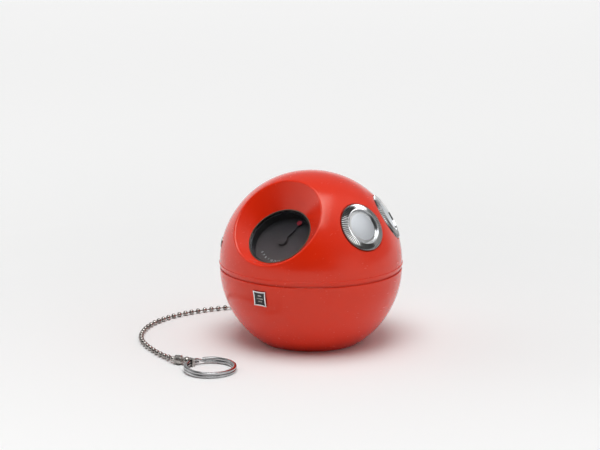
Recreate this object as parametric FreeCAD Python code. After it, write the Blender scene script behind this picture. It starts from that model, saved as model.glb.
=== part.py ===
"""Ball-shaped portable radio with a ball chain and a split ring.

Millimetres, +Z up. The origin is the middle of the flat base. The dial scoop and the badge face -Y,
and the two control knobs are on the +X shoulder.
"""

import FreeCAD
import Part
import math
import os
from FreeCAD import Vector

# Ball
BALL_R = 55.0
WALL = 2.5
LOWER_CENTRE_Z = 45.0
BELT_H = 2.57
UPPER_CENTRE_Z = LOWER_CENTRE_Z + BELT_H
BELT_TOP_R = 55.4
BELT_LOW_R = 54.9
SEAM_DEPTH = 0.9
SEAM_HALF_H = 0.5
SEAM_GAP = 0.05
LIP_ROUND = 0.6
SPIGOT_OUT_R = 52.2
SPIGOT_IN_R = 51.0
SPIGOT_H = 3.5
SPIGOT_ROOT = 3.0

# Dial scoop: a cone that is coaxial with the round window at its bottom
DIAL_FORWARD = 34.0
DIAL_RISE = 21.6
DIAL_TILT = 47.5
WINDOW_R = 19.4
SCOOP_HALF_ANGLE = 47.5
SCOOP_WALL = 2.2
RIM_ROUND = 1.1
LENS_R = 18.85
LENS_T = 1.5
LENS_CROWN = 0.5
LENS_SINK = 0.2
PLATE_DEPTH = 6.4
PLATE_T = 0.8
HOUSING_R = 21.0
HOUSING_T = 1.6
LENS_SEAT_R = 22.5
LENS_SEAT_LOW = -2.4
DOT_ANGLE = 69.0
DOT_REACH = 14.6
DOT_R = 1.5
POINTER_DEPTH = 5.6
DRUM_DEPTH = 14.0
DRUM_R = 5.0
DRUM_HALF = 1.6
SHAFT_R = 1.2
SHAFT_TAIL = 4.5
POINTER_T = 0.6
POINTER_W = 1.2

# Knobs: (azimuth from the front, elevation)
TUNING_AIM = (73.2, 31.9)
VOLUME_AIM = (118.2, 31.8)
KNOB_R = 14.5
KNOB_SEAT_R = 15.0
KNOB_SEAT_AT = 51.6
KNOB_LOW = 52.0
KNOB_EDGE_AT = 53.5
KNOB_RIDGE_AT = 54.8
KNOB_RIDGE_R = 10.9
KNOB_WALL_R = 10.15
KNOB_TEETH = 72
TOOTH_R = 0.28
HUB_R = 5.0
HUB_LOW = 50.0
HUB_WELL_R = 5.4
HUB_WELL_AT = 49.6
CAP_R = 9.3
CAP_LOW = 52.75
CAP_EDGE_AT = 53.75
CAP_CROWN = 1.25
CAP_GAP = 0.05
SPINDLE_TOP = 52.55
BOSS_R = 7.5
BOSS_LOW = 48.0
SPINDLE_R = 3.0
SPINDLE_BORE_R = 3.06
PULLEY_AT = 45.0
PULLEY_R = 5.8
PULLEY_HALF = 1.8
WHEEL_RIM = 1.3
CORD_R = 0.4
CORD_LIFT = 0.2
CORD_ENDS_APART = 4.0
CORD_SNUG = 0.94
GUIDE_ARC_R = 2.2
GUIDE_REACH = 14.0
SEAT_WALL_R = 17.2
CAPACITOR_SPAN = (30.0, 40.5)
VOLUME_SPAN = (33.0, 42.5)

# Speaker
SPEAKER_AIM = (180.0, 38.0)
SPEAKER_R = 25.0
SPEAKER_AT = 45.0
GRILLE_R = 21.5
SLOT_PITCH = 4.2
SLOT_W = 1.9
FLANGE_LIP = 2.6
SPEAKER_FRONT = SPEAKER_AT - 0.1
VOICE_R = 5.0
BASKET_DEPTH = 8.0
MAGNET_R = 12.0
MAGNET_PLATE_R = 12.5
CLOTH_T = 0.4

# Jack, badge and chain anchor
JACK_AIM = (-53.2, 13.0)
JACK_BORE_R = 1.8
JACK_R = 2.95
JACK_PROUD = 0.35
JACK_BOSS_AT = 49.6
JACK_NUT_R = 4.4
BADGE_DROP = 9.3
BADGE_W = 8.5
BADGE_H = 9.3
BADGE_HOLLOW = 0.07
BADGE_BACK_AT = 54.35
BADGE_T = 1.3
BADGE_RIM = 0.75
ANCHOR_AZIMUTH = -130.0
ANCHOR_DROP = 7.3
ANCHOR_R = 1.5

# Circuit board and battery
BOARD_R = 46.0
BOARD_TOP_Z = UPPER_CENTRE_Z - 8.0
BOARD_T = 1.6
BOSS_AZIMUTHS = (45.0, 150.0, -105.0)
BOSS_REACH = 45.0
BOSS_H = 17.0
SCREW_R = 1.08
SCREW_HOLE_R = 1.1
SCREW_HEAD_R = 2.4
SCREW_HEAD_H = 1.5
BATTERY = (48.5, 26.5, 17.5)
BATTERY_LOW_Z = 18.0
TERMINAL_L = 2.2
TERMINALS = ((2.8, -6.35), (3.6, 6.35))
SNAP = (3.6, 22.0, 11.0)
LEAD_R = 0.6
ROD_R = 4.0
ROD_L = 74.0
ROD_Y = 8.0
ROD_Z = UPPER_CENTRE_Z + 1.0
SLIP = 0.05
COIL_T = 0.9

# Ball chain: 3.2 mm balls, laid from the anchor to the ring
CHAIN_R = 1.6
CHAIN_POINTS = [
    (-45.6, 38.2, 33.0),
    (-45.9, 38.5, 23.0),
    (-47.6, 38.9, 11.5),
    (-55.5, 38.4, 1.6),
    (-68.0, 33.5, 1.6),
    (-79.0, 22.3, 1.6),
    (-87.6, 9.2, 1.6),
    (-94.0, -5.6, 1.6),
    (-97.2, -21.2, 1.6),
    (-96.7, -37.3, 1.6),
    (-91.3, -52.0, 1.6),
    (-82.0, -65.5, 1.6),
    (-68.8, -74.6, 1.6),
    (-54.8, -81.4, 1.6),
    (-45.5, -85.6, 1.9),
    (-36.2, -89.0, 2.7),
]
END_TURN = math.radians(10)
SWIVEL_AT = 8.2
RING_CENTRE = (-11.1, -88.5)
RING_OUT_R = 15.05
RING_IN_R = 12.8
RING_H = 3.28
RING_LIFT = 0.8
CONNECTOR_R = 2.7
CONNECTOR_L = 5.2
SWIVEL_R = 2.4
NECK_R = 0.78
STRAP_T = 0.55
STRAP_W = 2.0
STRAP_GAP = 0.15

LOWER = Vector(0, 0, LOWER_CENTRE_Z)
UPPER = Vector(0, 0, UPPER_CENTRE_Z)
Z_AXIS = Vector(0, 0, 1)


# ---------------------------------------------------------------- helpers


def frame_at(base, x_axis, z_axis):
    """Placement whose local +Z is z_axis and whose local +X is x_axis."""
    y_axis = z_axis.cross(x_axis)
    return FreeCAD.Placement(base, FreeCAD.Rotation(x_axis, y_axis, z_axis, "ZXY"))


def outward(aim, centre):
    """Placement at centre with local +Z outward along (azimuth, elevation) and local +X level."""
    azimuth, elevation = math.radians(aim[0]), math.radians(aim[1])
    flat = Vector(math.sin(azimuth), -math.cos(azimuth), 0)
    level = Vector(math.cos(azimuth), math.sin(azimuth), 0)
    away = flat * math.cos(elevation) + Z_AXIS * math.sin(elevation)
    return frame_at(centre, level, away)


def placed(shape, placement):
    moved = shape.copy()
    moved.Placement = placement.multiply(moved.Placement)
    return moved


def turned(outline):
    """Solid of revolution about local Z from (radius, height) points."""
    points = [Vector(r, 0, z) for r, z in outline]
    face = Part.Face(Part.makePolygon(points + [points[0]]))
    return face.revolve(Vector(0, 0, 0), Z_AXIS, 360)


def disc(radius, low, high, x=0.0, y=0.0):
    return Part.makeCylinder(radius, high - low, Vector(x, y, low))


def ring(outer, inner, low, high):
    return disc(outer, low, high).cut(disc(inner, low - 1, high + 1))


def block(size, centre):
    sx, sy, sz = size
    cx, cy, cz = centre
    return Part.makeBox(sx, sy, sz, Vector(cx - sx / 2, cy - sy / 2, cz - sz / 2))


def fused(shapes):
    shapes = list(shapes)
    whole = shapes[0]
    if len(shapes) > 1:
        whole = whole.multiFuse(shapes[1:])
    return whole.removeSplitter()


def group(shapes):
    return Part.makeCompound(list(shapes))


def rounded_path(points, radii):
    """Wire of straight runs joined by tangent arcs at the inner points."""
    edges = []
    start = points[0]
    for i in range(1, len(points) - 1):
        before = (points[i] - points[i - 1]).normalize()
        after = (points[i + 1] - points[i]).normalize()
        turn = before.getAngle(after)
        reach = radii[i - 1] * math.tan(turn / 2)
        into = points[i] - before * reach
        away = points[i] + after * reach
        inner = (after - before).normalize()
        centre = points[i] + inner * (radii[i - 1] / math.cos(turn / 2))
        middle = centre - inner * radii[i - 1]
        if (into - start).Length > 1e-4:
            edges.append(Part.LineSegment(start, into).toShape())
        edges.append(Part.Arc(into, middle, away).toShape())
        start = away
    if (points[-1] - start).Length > 1e-4:
        edges.append(Part.LineSegment(start, points[-1]).toShape())
    return Part.Wire(edges)


def largest_radii(points):
    """0.45 of the shorter run, divided by the tangent of half the turn, at each inner point."""
    radii = []
    for i in range(1, len(points) - 1):
        before = points[i] - points[i - 1]
        after = points[i + 1] - points[i]
        turn = before.getAngle(after)
        radii.append(0.45 * min(before.Length, after.Length) / math.tan(turn / 2))
    return radii


def tube(path, radius):
    """Round tube swept along a path of tangent lines and arcs."""
    first = path.OrderedEdges[0]
    start = first.valueAt(first.FirstParameter)
    along = first.tangentAt(first.FirstParameter)
    circle = Part.Wire(Part.makeCircle(radius, start, along))
    return path.makePipeShell([circle], True, True)


# ---------------------------------------------------------------- frames

DIAL_AWAY = outward((0.0, DIAL_TILT), UPPER).Rotation.multVec(Z_AXIS)
DIAL = frame_at(UPPER + Vector(0, -DIAL_FORWARD, DIAL_RISE), Vector(1, 0, 0), DIAL_AWAY)
TUNING = outward(TUNING_AIM, UPPER)
VOLUME = outward(VOLUME_AIM, UPPER)
SPEAKER = outward(SPEAKER_AIM, UPPER)
JACK = outward(JACK_AIM, UPPER)
BADGE = outward((0.0, -BADGE_DROP), LOWER)
ANCHOR = outward((ANCHOR_AZIMUTH, -ANCHOR_DROP), LOWER)


# ---------------------------------------------------------------- shells


def rounded_profile(corners):
    """Face in the XZ plane from (radius, height, round) corners; round 0 keeps a corner sharp."""
    count = len(corners)
    edges = []
    ends = []
    for i, (r, z, size) in enumerate(corners):
        here = Vector(r, 0, z)
        back = Vector(corners[i - 1][0], 0, corners[i - 1][1]) - here
        ahead = Vector(corners[(i + 1) % count][0], 0, corners[(i + 1) % count][1]) - here
        if size == 0:
            ends.append((here, here, None))
            continue
        turn = math.pi - back.getAngle(ahead)
        reach = size * math.tan(turn / 2)
        a = here + back.normalize() * reach
        b = here + ahead.normalize() * reach
        inner = ((a - here) + (b - here)).normalize()
        middle = here + inner * (size / math.cos(turn / 2) - size)
        ends.append((a, b, middle))
    for i, (a, b, middle) in enumerate(ends):
        if middle is not None:
            edges.append(Part.Arc(a, middle, b).toShape())
        edges.append(Part.LineSegment(b, ends[(i + 1) % count][0]).toShape())
    return Part.Face(Part.Wire(edges))


def spun(face):
    return face.revolve(Vector(0, 0, 0), Z_AXIS, 360)


def upper_outside():
    """Dome on top of the belt, with the seam's rebate under the belt."""
    dome = Part.makeSphere(BALL_R, UPPER, Z_AXIS, 0, 90, 360)
    low = LOWER_CENTRE_Z + SEAM_GAP
    step = LOWER_CENTRE_Z + SEAM_HALF_H
    top = UPPER_CENTRE_Z + 0.4
    belt = spun(
        rounded_profile(
            [
                (0, low, 0),
                (BALL_R - SEAM_DEPTH, low, 0),
                (BALL_R - SEAM_DEPTH, step, 0),
                (BELT_LOW_R, step, LIP_ROUND / 2),
                (BELT_TOP_R, top, 0.25),
                (BALL_R - 1, top, 0),
                (0, top, 0),
            ]
        )
    )
    return fused([dome, belt])


def upper_inside():
    dome = Part.makeSphere(BALL_R - WALL, UPPER, Z_AXIS, 0, 90, 360)
    throat = disc(BALL_R - WALL, LOWER_CENTRE_Z - 1, UPPER_CENTRE_Z)
    return fused([dome, throat])


def scoop_cone(extra, low, high):
    """Cone coaxial with the window, wider by extra than the scoop's surface."""
    slope = math.tan(math.radians(SCOOP_HALF_ANGLE))
    low_r = WINDOW_R + extra + low * slope
    high_r = WINDOW_R + extra + high * slope
    return placed(Part.makeCone(low_r, high_r, high - low, Vector(0, 0, low)), DIAL)


def slot(y):
    """Speaker slot with round ends, level, at local height y."""
    half = math.sqrt(GRILLE_R**2 - y**2) - SLOT_W / 2
    low, high = SPEAKER_AT + 1, BALL_R + 2
    bar = Part.makeBox(2 * half, SLOT_W, high - low, Vector(-half, y - SLOT_W / 2, low))
    ends = [disc(SLOT_W / 2, low, high, x, y) for x in (-half, half)]
    return placed(fused([bar] + ends), SPEAKER)


def board_boss(azimuth):
    """Hanging screw boss with a rib to the wall, kept above the spigot."""
    high = BOARD_TOP_Z + BOSS_H
    post = Part.makeCylinder(3.5, high - BOARD_TOP_Z, Vector(BOSS_REACH, 0, BOARD_TOP_Z))
    rib_low = LOWER_CENTRE_Z + SPIGOT_H + 1.5
    rib = Part.makeBox(8.0, 3.0, high - rib_low, Vector(BOSS_REACH, -1.5, rib_low))
    hole = Part.makeCylinder(SCREW_HOLE_R, 10, Vector(BOSS_REACH, 0, BOARD_TOP_Z - 1))
    boss = fused([post, rib]).cut(hole)
    boss.rotate(Vector(0, 0, 0), Z_AXIS, azimuth - 90)
    return boss


def knob_seat_cutter():
    """Recess for a knob and its hub, with the mouth eased by a small chamfer."""
    mouth = math.sqrt(BALL_R**2 - KNOB_SEAT_R**2)
    return turned(
        [
            (0, HUB_WELL_AT),
            (HUB_WELL_R, HUB_WELL_AT),
            (HUB_WELL_R, KNOB_SEAT_AT),
            (KNOB_SEAT_R, KNOB_SEAT_AT),
            (KNOB_SEAT_R, mouth - 0.3),
            (KNOB_SEAT_R + 2, mouth + 1.7),
            (KNOB_SEAT_R + 2, BALL_R + 5),
            (0, BALL_R + 5),
        ]
    )


def on_scoop_rim(edge):
    """True for an edge that lies on the ball and on the scoop's cone."""
    slope = math.tan(math.radians(SCOOP_HALF_ANGLE))
    for share in (0.1, 0.4, 0.7, 0.95):
        span = edge.LastParameter - edge.FirstParameter
        point = edge.valueAt(edge.FirstParameter + span * share)
        local = DIAL.inverse().multVec(point)
        radial = math.hypot(local.x, local.y)
        off_cone = abs(radial - WINDOW_R - local.z * slope)
        off_ball = abs((point - UPPER).Length - BALL_R)
        if off_cone > 0.01 or off_ball > 0.01:
            return False
    return True


def upper_shell():
    outside = upper_outside()
    shell = outside.cut(upper_inside())
    slope = math.radians(SCOOP_HALF_ANGLE)
    bowl = scoop_cone(SCOOP_WALL / math.cos(slope), LENS_SEAT_LOW, 40)
    seat = placed(disc(LENS_SEAT_R, LENS_SEAT_LOW, 1.5), DIAL)
    inner = [bowl, seat]
    for knob in (TUNING, VOLUME):
        inner.append(placed(disc(SEAT_WALL_R, KNOB_SEAT_AT - 2, BALL_R), knob))
        inner.append(placed(disc(BOSS_R, BOSS_LOW, BALL_R), knob))
    rim_r = SPEAKER_R + FLANGE_LIP
    inner.append(placed(ring(rim_r, SPEAKER_R + 0.3, SPEAKER_AT - 1, BALL_R), SPEAKER))
    inner.append(placed(disc(2 * JACK_R, JACK_BOSS_AT, BALL_R), JACK))
    inner += [board_boss(azimuth) for azimuth in BOSS_AZIMUTHS]
    shell = fused([shell] + [part.common(outside) for part in inner])
    shell = shell.cut(scoop_cone(0.0, 0.0, 60))
    rim = [e for e in shell.Edges if on_scoop_rim(e)]
    shell = shell.makeFillet(RIM_ROUND, rim)
    shell = shell.cut(placed(disc(WINDOW_R, -4, 1), DIAL))
    for knob in (TUNING, VOLUME):
        shell = shell.cut(placed(knob_seat_cutter(), knob))
        shell = shell.cut(placed(disc(SPINDLE_BORE_R, 40, BALL_R), knob))
    shell = shell.cut(placed(disc(JACK_R + 0.15, 40, BALL_R + 5), JACK))
    rows = int(GRILLE_R / SLOT_PITCH)
    slots = [slot(i * SLOT_PITCH) for i in range(-rows, rows + 1)]
    shell = shell.cut(group(slots))
    return shell.removeSplitter()


def lower_shell():
    """Cup with a flat base and the spigot that guides the upper half."""
    top = LOWER_CENTRE_Z - SEAM_HALF_H
    ball = Part.makeSphere(BALL_R, LOWER, Z_AXIS, -90, 0, 360)
    ball = ball.common(disc(BALL_R + 5, 0, LOWER_CENTRE_Z))
    inside = Part.makeSphere(BALL_R - WALL, LOWER, Z_AXIS, -90, 0, 360)
    inside = inside.common(disc(BALL_R, WALL, LOWER_CENTRE_Z))
    rebate = rounded_profile(
        [
            (BALL_R - SEAM_DEPTH, top, 0),
            (BALL_R + 2, top, 0),
            (BALL_R + 2, LOWER_CENTRE_Z + 1, 0),
            (BALL_R - SEAM_DEPTH, LOWER_CENTRE_Z + 1, 0),
        ]
    )
    shell = ball.cut(inside).cut(spun(rebate))
    rim = [e for e in shell.Edges if on_rim(e, BALL_R - 0.3, top)]
    shell = shell.makeFillet(LIP_ROUND - 0.1, rim)
    root = ring(BALL_R - 1.5, SPIGOT_IN_R, LOWER_CENTRE_Z - SPIGOT_ROOT, LOWER_CENTRE_Z)
    spigot = ring(SPIGOT_OUT_R, SPIGOT_IN_R, LOWER_CENTRE_Z - SPIGOT_ROOT, LOWER_CENTRE_Z + SPIGOT_H)
    shell = fused([shell, root, spigot])
    shell = shell.cut(placed(block((BADGE_W + 0.2, BADGE_H + 0.2, 4), (0, 0, 56.3)), BADGE))
    shell = shell.cut(placed(disc(ANCHOR_R + 0.1, BALL_R - 4, BALL_R + 4), ANCHOR))
    return shell.removeSplitter()


def on_rim(edge, radius, height):
    """True for a full circle about Z at that height and outside that radius."""
    box = edge.BoundBox
    return box.ZLength < 1e-6 and abs(box.ZMin - height) < 1e-6 and box.XMax > radius


# ---------------------------------------------------------------- dial


def dial_ring():
    return placed(ring(WINDOW_R - SLIP, LENS_R + SLIP, -1.2, 0.3), DIAL)


def dial_lens():
    """Flat window with a slightly crowned outer face."""
    sphere_r = (LENS_R**2 + LENS_CROWN**2) / (2 * LENS_CROWN)
    slab = disc(LENS_R, -LENS_T - LENS_SINK, 2)
    cap = Part.makeSphere(sphere_r, Vector(0, 0, LENS_CROWN - LENS_SINK - sphere_r))
    return placed(slab.common(cap), DIAL)


def dial_housing():
    """Black cup behind the window, with a shelf for the lens and a hole for the pointer's shaft."""
    depth = PLATE_DEPTH + PLATE_T
    back = -depth - HOUSING_T
    flange = LENS_SEAT_LOW - SLIP
    shelf = -LENS_T - LENS_SINK - SLIP
    shaft_hole = 3.0
    cup = turned(
        [
            (shaft_hole, back),
            (HOUSING_R, back),
            (HOUSING_R, flange),
            (WINDOW_R - SLIP, flange),
            (WINDOW_R - SLIP, shelf),
            (LENS_R - 1.0, shelf),
            (LENS_R - 1.0, -depth),
            (shaft_hole, -depth),
        ]
    )
    return placed(cup, DIAL)


def dial_plate():
    return placed(ring(LENS_R - 1.1, 2.0, -PLATE_DEPTH - PLATE_T, -PLATE_DEPTH), DIAL)


def dial_pointer():
    """Arm with a hub at one end and a round pad under the dot at the other."""
    angle = math.radians(DOT_ANGLE)
    low, high = -POINTER_DEPTH - POINTER_T / 2, -POINTER_DEPTH + POINTER_T / 2
    tip_x, tip_y = DOT_REACH * math.cos(angle), DOT_REACH * math.sin(angle)
    hub = disc(2.8, low, high + 0.7)
    pad = disc(DOT_R + 0.3, low, high, tip_x, tip_y)
    arm = block((DOT_REACH, POINTER_W, POINTER_T), (DOT_REACH / 2, 0, -POINTER_DEPTH))
    arm.rotate(Vector(0, 0, 0), Z_AXIS, DOT_ANGLE)
    shaft = disc(SHAFT_R, -DRUM_DEPTH - SHAFT_TAIL, low)
    return placed(fused([hub, pad, arm, shaft]), DIAL)


def pointer_dot():
    angle = math.radians(DOT_ANGLE)
    low = -POINTER_DEPTH + POINTER_T / 2
    x, y = DOT_REACH * math.cos(angle), DOT_REACH * math.sin(angle)
    return placed(disc(DOT_R, low, low + 0.5, x, y), DIAL)


def grooved(radius, half, bore):
    """Cord wheel about local Z, with its groove's bottom at radius."""
    rim = radius + WHEEL_RIM
    return turned(
        [
            (bore, -half),
            (rim, -half),
            (rim, -half + 0.4),
            (radius, -0.5),
            (radius, 0.5),
            (rim, half - 0.4),
            (rim, half),
            (bore, half),
        ]
    )


def dial_drum():
    wheel = grooved(DRUM_R - CORD_R - CORD_LIFT, DRUM_HALF, SHAFT_R)
    wheel.translate(Vector(0, 0, -DRUM_DEPTH))
    return placed(wheel, DIAL)


def drum_bearing():
    """Bracket behind the drum that carries the pointer's shaft, on two legs from the housing."""
    top = -PLATE_DEPTH - PLATE_T - HOUSING_T
    low = -DRUM_DEPTH - SHAFT_TAIL
    width, length, leg_t, bar_t = 6.0, 30.0, 2.0, 1.5
    bar = block((width, length, bar_t), (0, 0, low + bar_t / 2))
    bar = bar.cut(disc(SHAFT_R + SLIP, low - 1, low + 3))
    reach = (length - leg_t) / 2
    legs = [block((width, leg_t, top - low), (0, y, (top + low) / 2)) for y in (-reach, reach)]
    return placed(fused([bar] + legs), DIAL)


# ---------------------------------------------------------------- knobs


def knob(frame):
    """Toothed skirt, ribbed face, steep inner wall, a well for the disc and a hub on the spindle."""
    body = turned(
        [
            (0, HUB_LOW),
            (HUB_R, HUB_LOW),
            (HUB_R, KNOB_LOW),
            (KNOB_R, KNOB_LOW),
            (KNOB_R, KNOB_EDGE_AT),
            (KNOB_R - 0.4, KNOB_EDGE_AT + 0.45),
            (KNOB_RIDGE_R, KNOB_RIDGE_AT),
            (KNOB_RIDGE_R - 0.5, KNOB_RIDGE_AT - 0.1),
            (KNOB_WALL_R, CAP_LOW - CAP_GAP),
            (0, CAP_LOW - CAP_GAP),
        ]
    )
    notch = disc(TOOTH_R, KNOB_LOW - 1, BALL_R, KNOB_R + 0.05, 0)
    notches = []
    for i in range(KNOB_TEETH):
        cut = notch.copy()
        cut.rotate(Vector(0, 0, 0), Z_AXIS, 360 * i / KNOB_TEETH)
        notches.append(cut)
    body = body.cut(group(notches))
    return placed(body.cut(disc(SPINDLE_R, HUB_LOW - 1, SPINDLE_TOP + SLIP)), frame)


def knob_cap(frame):
    """Domed disc set into the knob's well."""
    sphere_r = (CAP_R**2 + CAP_CROWN**2) / (2 * CAP_CROWN)
    slab = disc(CAP_R, CAP_LOW, BALL_R + 5)
    cap = Part.makeSphere(sphere_r, Vector(0, 0, CAP_EDGE_AT + CAP_CROWN - sphere_r))
    return placed(slab.common(cap), frame)


def spindle(frame, low):
    return placed(disc(SPINDLE_R, low, SPINDLE_TOP), frame)


def tuning_pulley():
    wheel = grooved(PULLEY_R - CORD_R - CORD_LIFT, PULLEY_HALF, SPINDLE_R)
    wheel.translate(Vector(0, 0, PULLEY_AT))
    return placed(wheel, TUNING)


def tuning_capacitor():
    """Square variable capacitor round the tuning spindle's inner end."""
    low, high = CAPACITOR_SPAN
    side = 20.0
    body = block((side, side, high - low), (0, 0, (high + low) / 2))
    body = body.makeChamfer(1.0, [e for e in body.Edges if abs(e.tangentAt(0).z) > 0.9])
    body = body.cut(disc(SPINDLE_BORE_R, low + 4, high + 1))
    return placed(body, TUNING)


def volume_control():
    """Round potentiometer with its switch at the back."""
    low, high = VOLUME_SPAN
    can = disc(8.5, low + 3.5, high)
    switch = disc(7.0, low, low + 3.5)
    neck = disc(4.5, high, BOSS_LOW - SLIP)
    lugs = [block((1.6, 5, 0.6), (x, -10.4, high - 1)) for x in (-4, 0, 4)]
    body = fused([can, switch, neck] + lugs)
    return placed(body.cut(disc(SPINDLE_BORE_R, low + 4.5, KNOB_SEAT_AT)), VOLUME)


# ---------------------------------------------------------------- dial cord


def wrap(centre, axis, from_way, to_way, radius, corners):
    """Corner points of the tangent polygon round a wheel, turning right-handed about axis."""
    total = from_way.getAngle(to_way)
    if from_way.cross(to_way).dot(axis) < 0:
        total = 2 * math.pi - total
    step = total / corners
    points = []
    for i in range(corners):
        turn = FreeCAD.Rotation(axis, math.degrees(step * (i + 0.5)))
        points.append(centre + turn.multVec(from_way) * (radius / math.cos(step / 2)))
    return points


def cord_line():
    """Wheel centres, wheel axes and the line where the two wheels' planes meet."""
    dial_axis = DIAL.Rotation.multVec(Z_AXIS)
    knob_axis = TUNING.Rotation.multVec(Z_AXIS)
    drum = DIAL.multVec(Vector(0, 0, -DRUM_DEPTH))
    pulley = TUNING.multVec(Vector(0, 0, PULLEY_AT))
    line = knob_axis.cross(dial_axis).normalize()
    return drum, pulley, dial_axis, knob_axis, line


def guide_points():
    """Corners where the cord's two strands pass round the guide posts."""
    drum, pulley, dial_axis, knob_axis, line = cord_line()
    side = knob_axis.cross(line)
    return [pulley + line * GUIDE_REACH + side * (s * PULLEY_R) for s in (1, -1)]


def cord_corners():
    """Corner points and arc radii of the cord, from the back of the drum and round to it again."""
    drum, pulley, dial_axis, knob_axis, line = cord_line()
    near, far = guide_points()
    side = knob_axis.cross(line)
    ways = []
    for guide, sense in ((near, -1), (far, 1)):
        gap = guide - drum
        gap = gap - dial_axis * gap.dot(dial_axis)
        spread = math.degrees(math.acos(DRUM_R / gap.Length))
        ways.append(FreeCAD.Rotation(dial_axis, sense * spread).multVec(gap.normalize()))
    back = (ways[0] + ways[1]).normalize().negative()
    first = FreeCAD.Rotation(dial_axis, CORD_ENDS_APART).multVec(back)
    last = FreeCAD.Rotation(dial_axis, -CORD_ENDS_APART).multVec(back)
    leaving = wrap(drum, dial_axis, first, ways[0], DRUM_R, 3)
    round_pulley = wrap(pulley, knob_axis, side, side.negative(), PULLEY_R, 4)
    arriving = wrap(drum, dial_axis, ways[1], last, DRUM_R, 3)
    points = [drum + first * DRUM_R] + leaving + [near] + round_pulley + [far] + arriving
    points.append(drum + last * DRUM_R)
    round_drum = [CORD_SNUG * DRUM_R] * 3
    radii = round_drum + [GUIDE_ARC_R] + [CORD_SNUG * PULLEY_R] * 4 + [GUIDE_ARC_R] + round_drum
    return points, radii


def dial_cord():
    """Cord round the drum, over both guide posts and round the tuning pulley, tied at the drum."""
    points, radii = cord_corners()
    return tube(rounded_path(points, radii), CORD_R)


def cord_guides():
    """Two fixed posts that turn the cord towards the tuning pulley, footed on the shell."""
    points, radii = cord_corners()
    posts = []
    for i in (4, 9):
        before = (points[i] - points[i - 1]).normalize()
        after = (points[i + 1] - points[i]).normalize()
        turn = before.getAngle(after)
        inner = (after - before).normalize()
        centre = points[i] + inner * (GUIDE_ARC_R / math.cos(turn / 2))
        axis = before.cross(after).normalize()
        if axis.dot(centre - UPPER) < 0:
            axis = axis.negative()
        post_r = GUIDE_ARC_R - CORD_R - CORD_LIFT
        post = Part.makeCylinder(post_r, 16, centre - axis * 3, axis)
        collar = Part.makeCylinder(post_r + 0.9, 0.8, centre - axis * 2.2, axis)
        post = fused([post, collar]).common(Part.makeSphere(BALL_R - WALL - 2 * SLIP, UPPER))
        posts.append(post.cut(placed(disc(30, KNOB_SEAT_AT - 2 - SLIP, BALL_R + 5), TUNING)))
    return group(posts)


# ---------------------------------------------------------------- speaker


def speaker_basket():
    """Pressed frame: front flange, sloping cone wall with windows and a back plate."""
    front = SPEAKER_FRONT
    back = front - BASKET_DEPTH
    basket = turned(
        [
            (SPEAKER_R, front),
            (SPEAKER_R, front - 1.0),
            (SPEAKER_R - 2.0, front - 1.0),
            (MAGNET_PLATE_R, back),
            (VOICE_R, back),
            (VOICE_R, back + 0.8),
            (MAGNET_PLATE_R - 0.5, back + 0.8),
            (SPEAKER_R - 3.0, front - 0.8),
            (SPEAKER_R - 3.0, front),
        ]
    )
    windows = []
    for i in range(4):
        window = block((7, 9, 5), (17.2, 0, front - 4.4))
        window.rotate(Vector(0, 0, 0), Z_AXIS, 45 + 90 * i)
        windows.append(window)
    return placed(basket.cut(group(windows)), SPEAKER)


def speaker_cone():
    """Paper cone with its surround and dust cap."""
    front = SPEAKER_FRONT
    cone = turned(
        [
            (SPEAKER_R - 3.2, front),
            (SPEAKER_R - 3.2, front - 0.5),
            (SPEAKER_R - 4.6, front - 0.1),
            (SPEAKER_R - 5.4, front - 0.9),
            (VOICE_R + 0.2, front - 5.6),
            (VOICE_R - 0.2, front - 5.6),
            (3.5, front - 4.2),
            (0, front - 3.6),
            (0, front - 3.2),
            (3.8, front - 3.8),
            (VOICE_R + 0.2, front - 5.0),
            (SPEAKER_R - 5.2, front - 0.4),
            (SPEAKER_R - 4.4, front + 0.5),
            (SPEAKER_R - 3.4, front + 0.1),
        ]
    )
    return placed(cone, SPEAKER)


def speaker_magnet():
    """Ring magnet between two plates, with the pole through all three."""
    front = SPEAKER_FRONT - BASKET_DEPTH - SLIP
    plate_t, magnet_t = 1.6, 6.0
    back = front - 2 * plate_t - magnet_t
    top_plate = disc(MAGNET_PLATE_R, front - plate_t, front)
    magnet = disc(MAGNET_R, back + plate_t, front - plate_t)
    back_plate = disc(MAGNET_PLATE_R, back, back + plate_t)
    pole = disc(3.6, back, front + 2.2)
    return placed(fused([top_plate, magnet, back_plate, pole]), SPEAKER)


def grille_cloth():
    """Cloth disc glued behind the slots, following the ball's inside."""
    outer = Part.makeSphere(BALL_R - WALL - SLIP, UPPER)
    inner = Part.makeSphere(BALL_R - WALL - SLIP - CLOTH_T, UPPER)
    return outer.cut(inner).common(placed(disc(SPEAKER_R - 0.8, 40, BALL_R), SPEAKER))


# ---------------------------------------------------------------- jack, badge, anchor


def earphone_jack():
    """Socket with a threaded collar through the shell."""
    high = 47.0
    body_w, body_l = 8.5, 11.0
    barrel = disc(JACK_R, high, BALL_R + JACK_PROUD)
    body = block((body_w, body_w, body_l), (0, 0, high - body_l / 2))
    lug = block((1.6, 0.5, 5.0), (0, -4.5, high - body_l - 1.5))
    jack = fused([barrel, body, lug])
    return placed(jack.cut(disc(JACK_BORE_R, high - body_l + 1, BALL_R + 5)), JACK)


def jack_nut():
    """Hexagon nut inside the shell's boss."""
    nut_t = 1.8
    low = JACK_BOSS_AT - nut_t - 0.1
    corners = [math.radians(60 * i) for i in range(7)]
    points = [Vector(JACK_NUT_R * math.cos(a), JACK_NUT_R * math.sin(a), low) for a in corners]
    prism = Part.Face(Part.makePolygon(points)).extrude(Vector(0, 0, nut_t))
    return placed(prism.cut(disc(JACK_R + SLIP, low - 1, BALL_R)), JACK)


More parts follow.
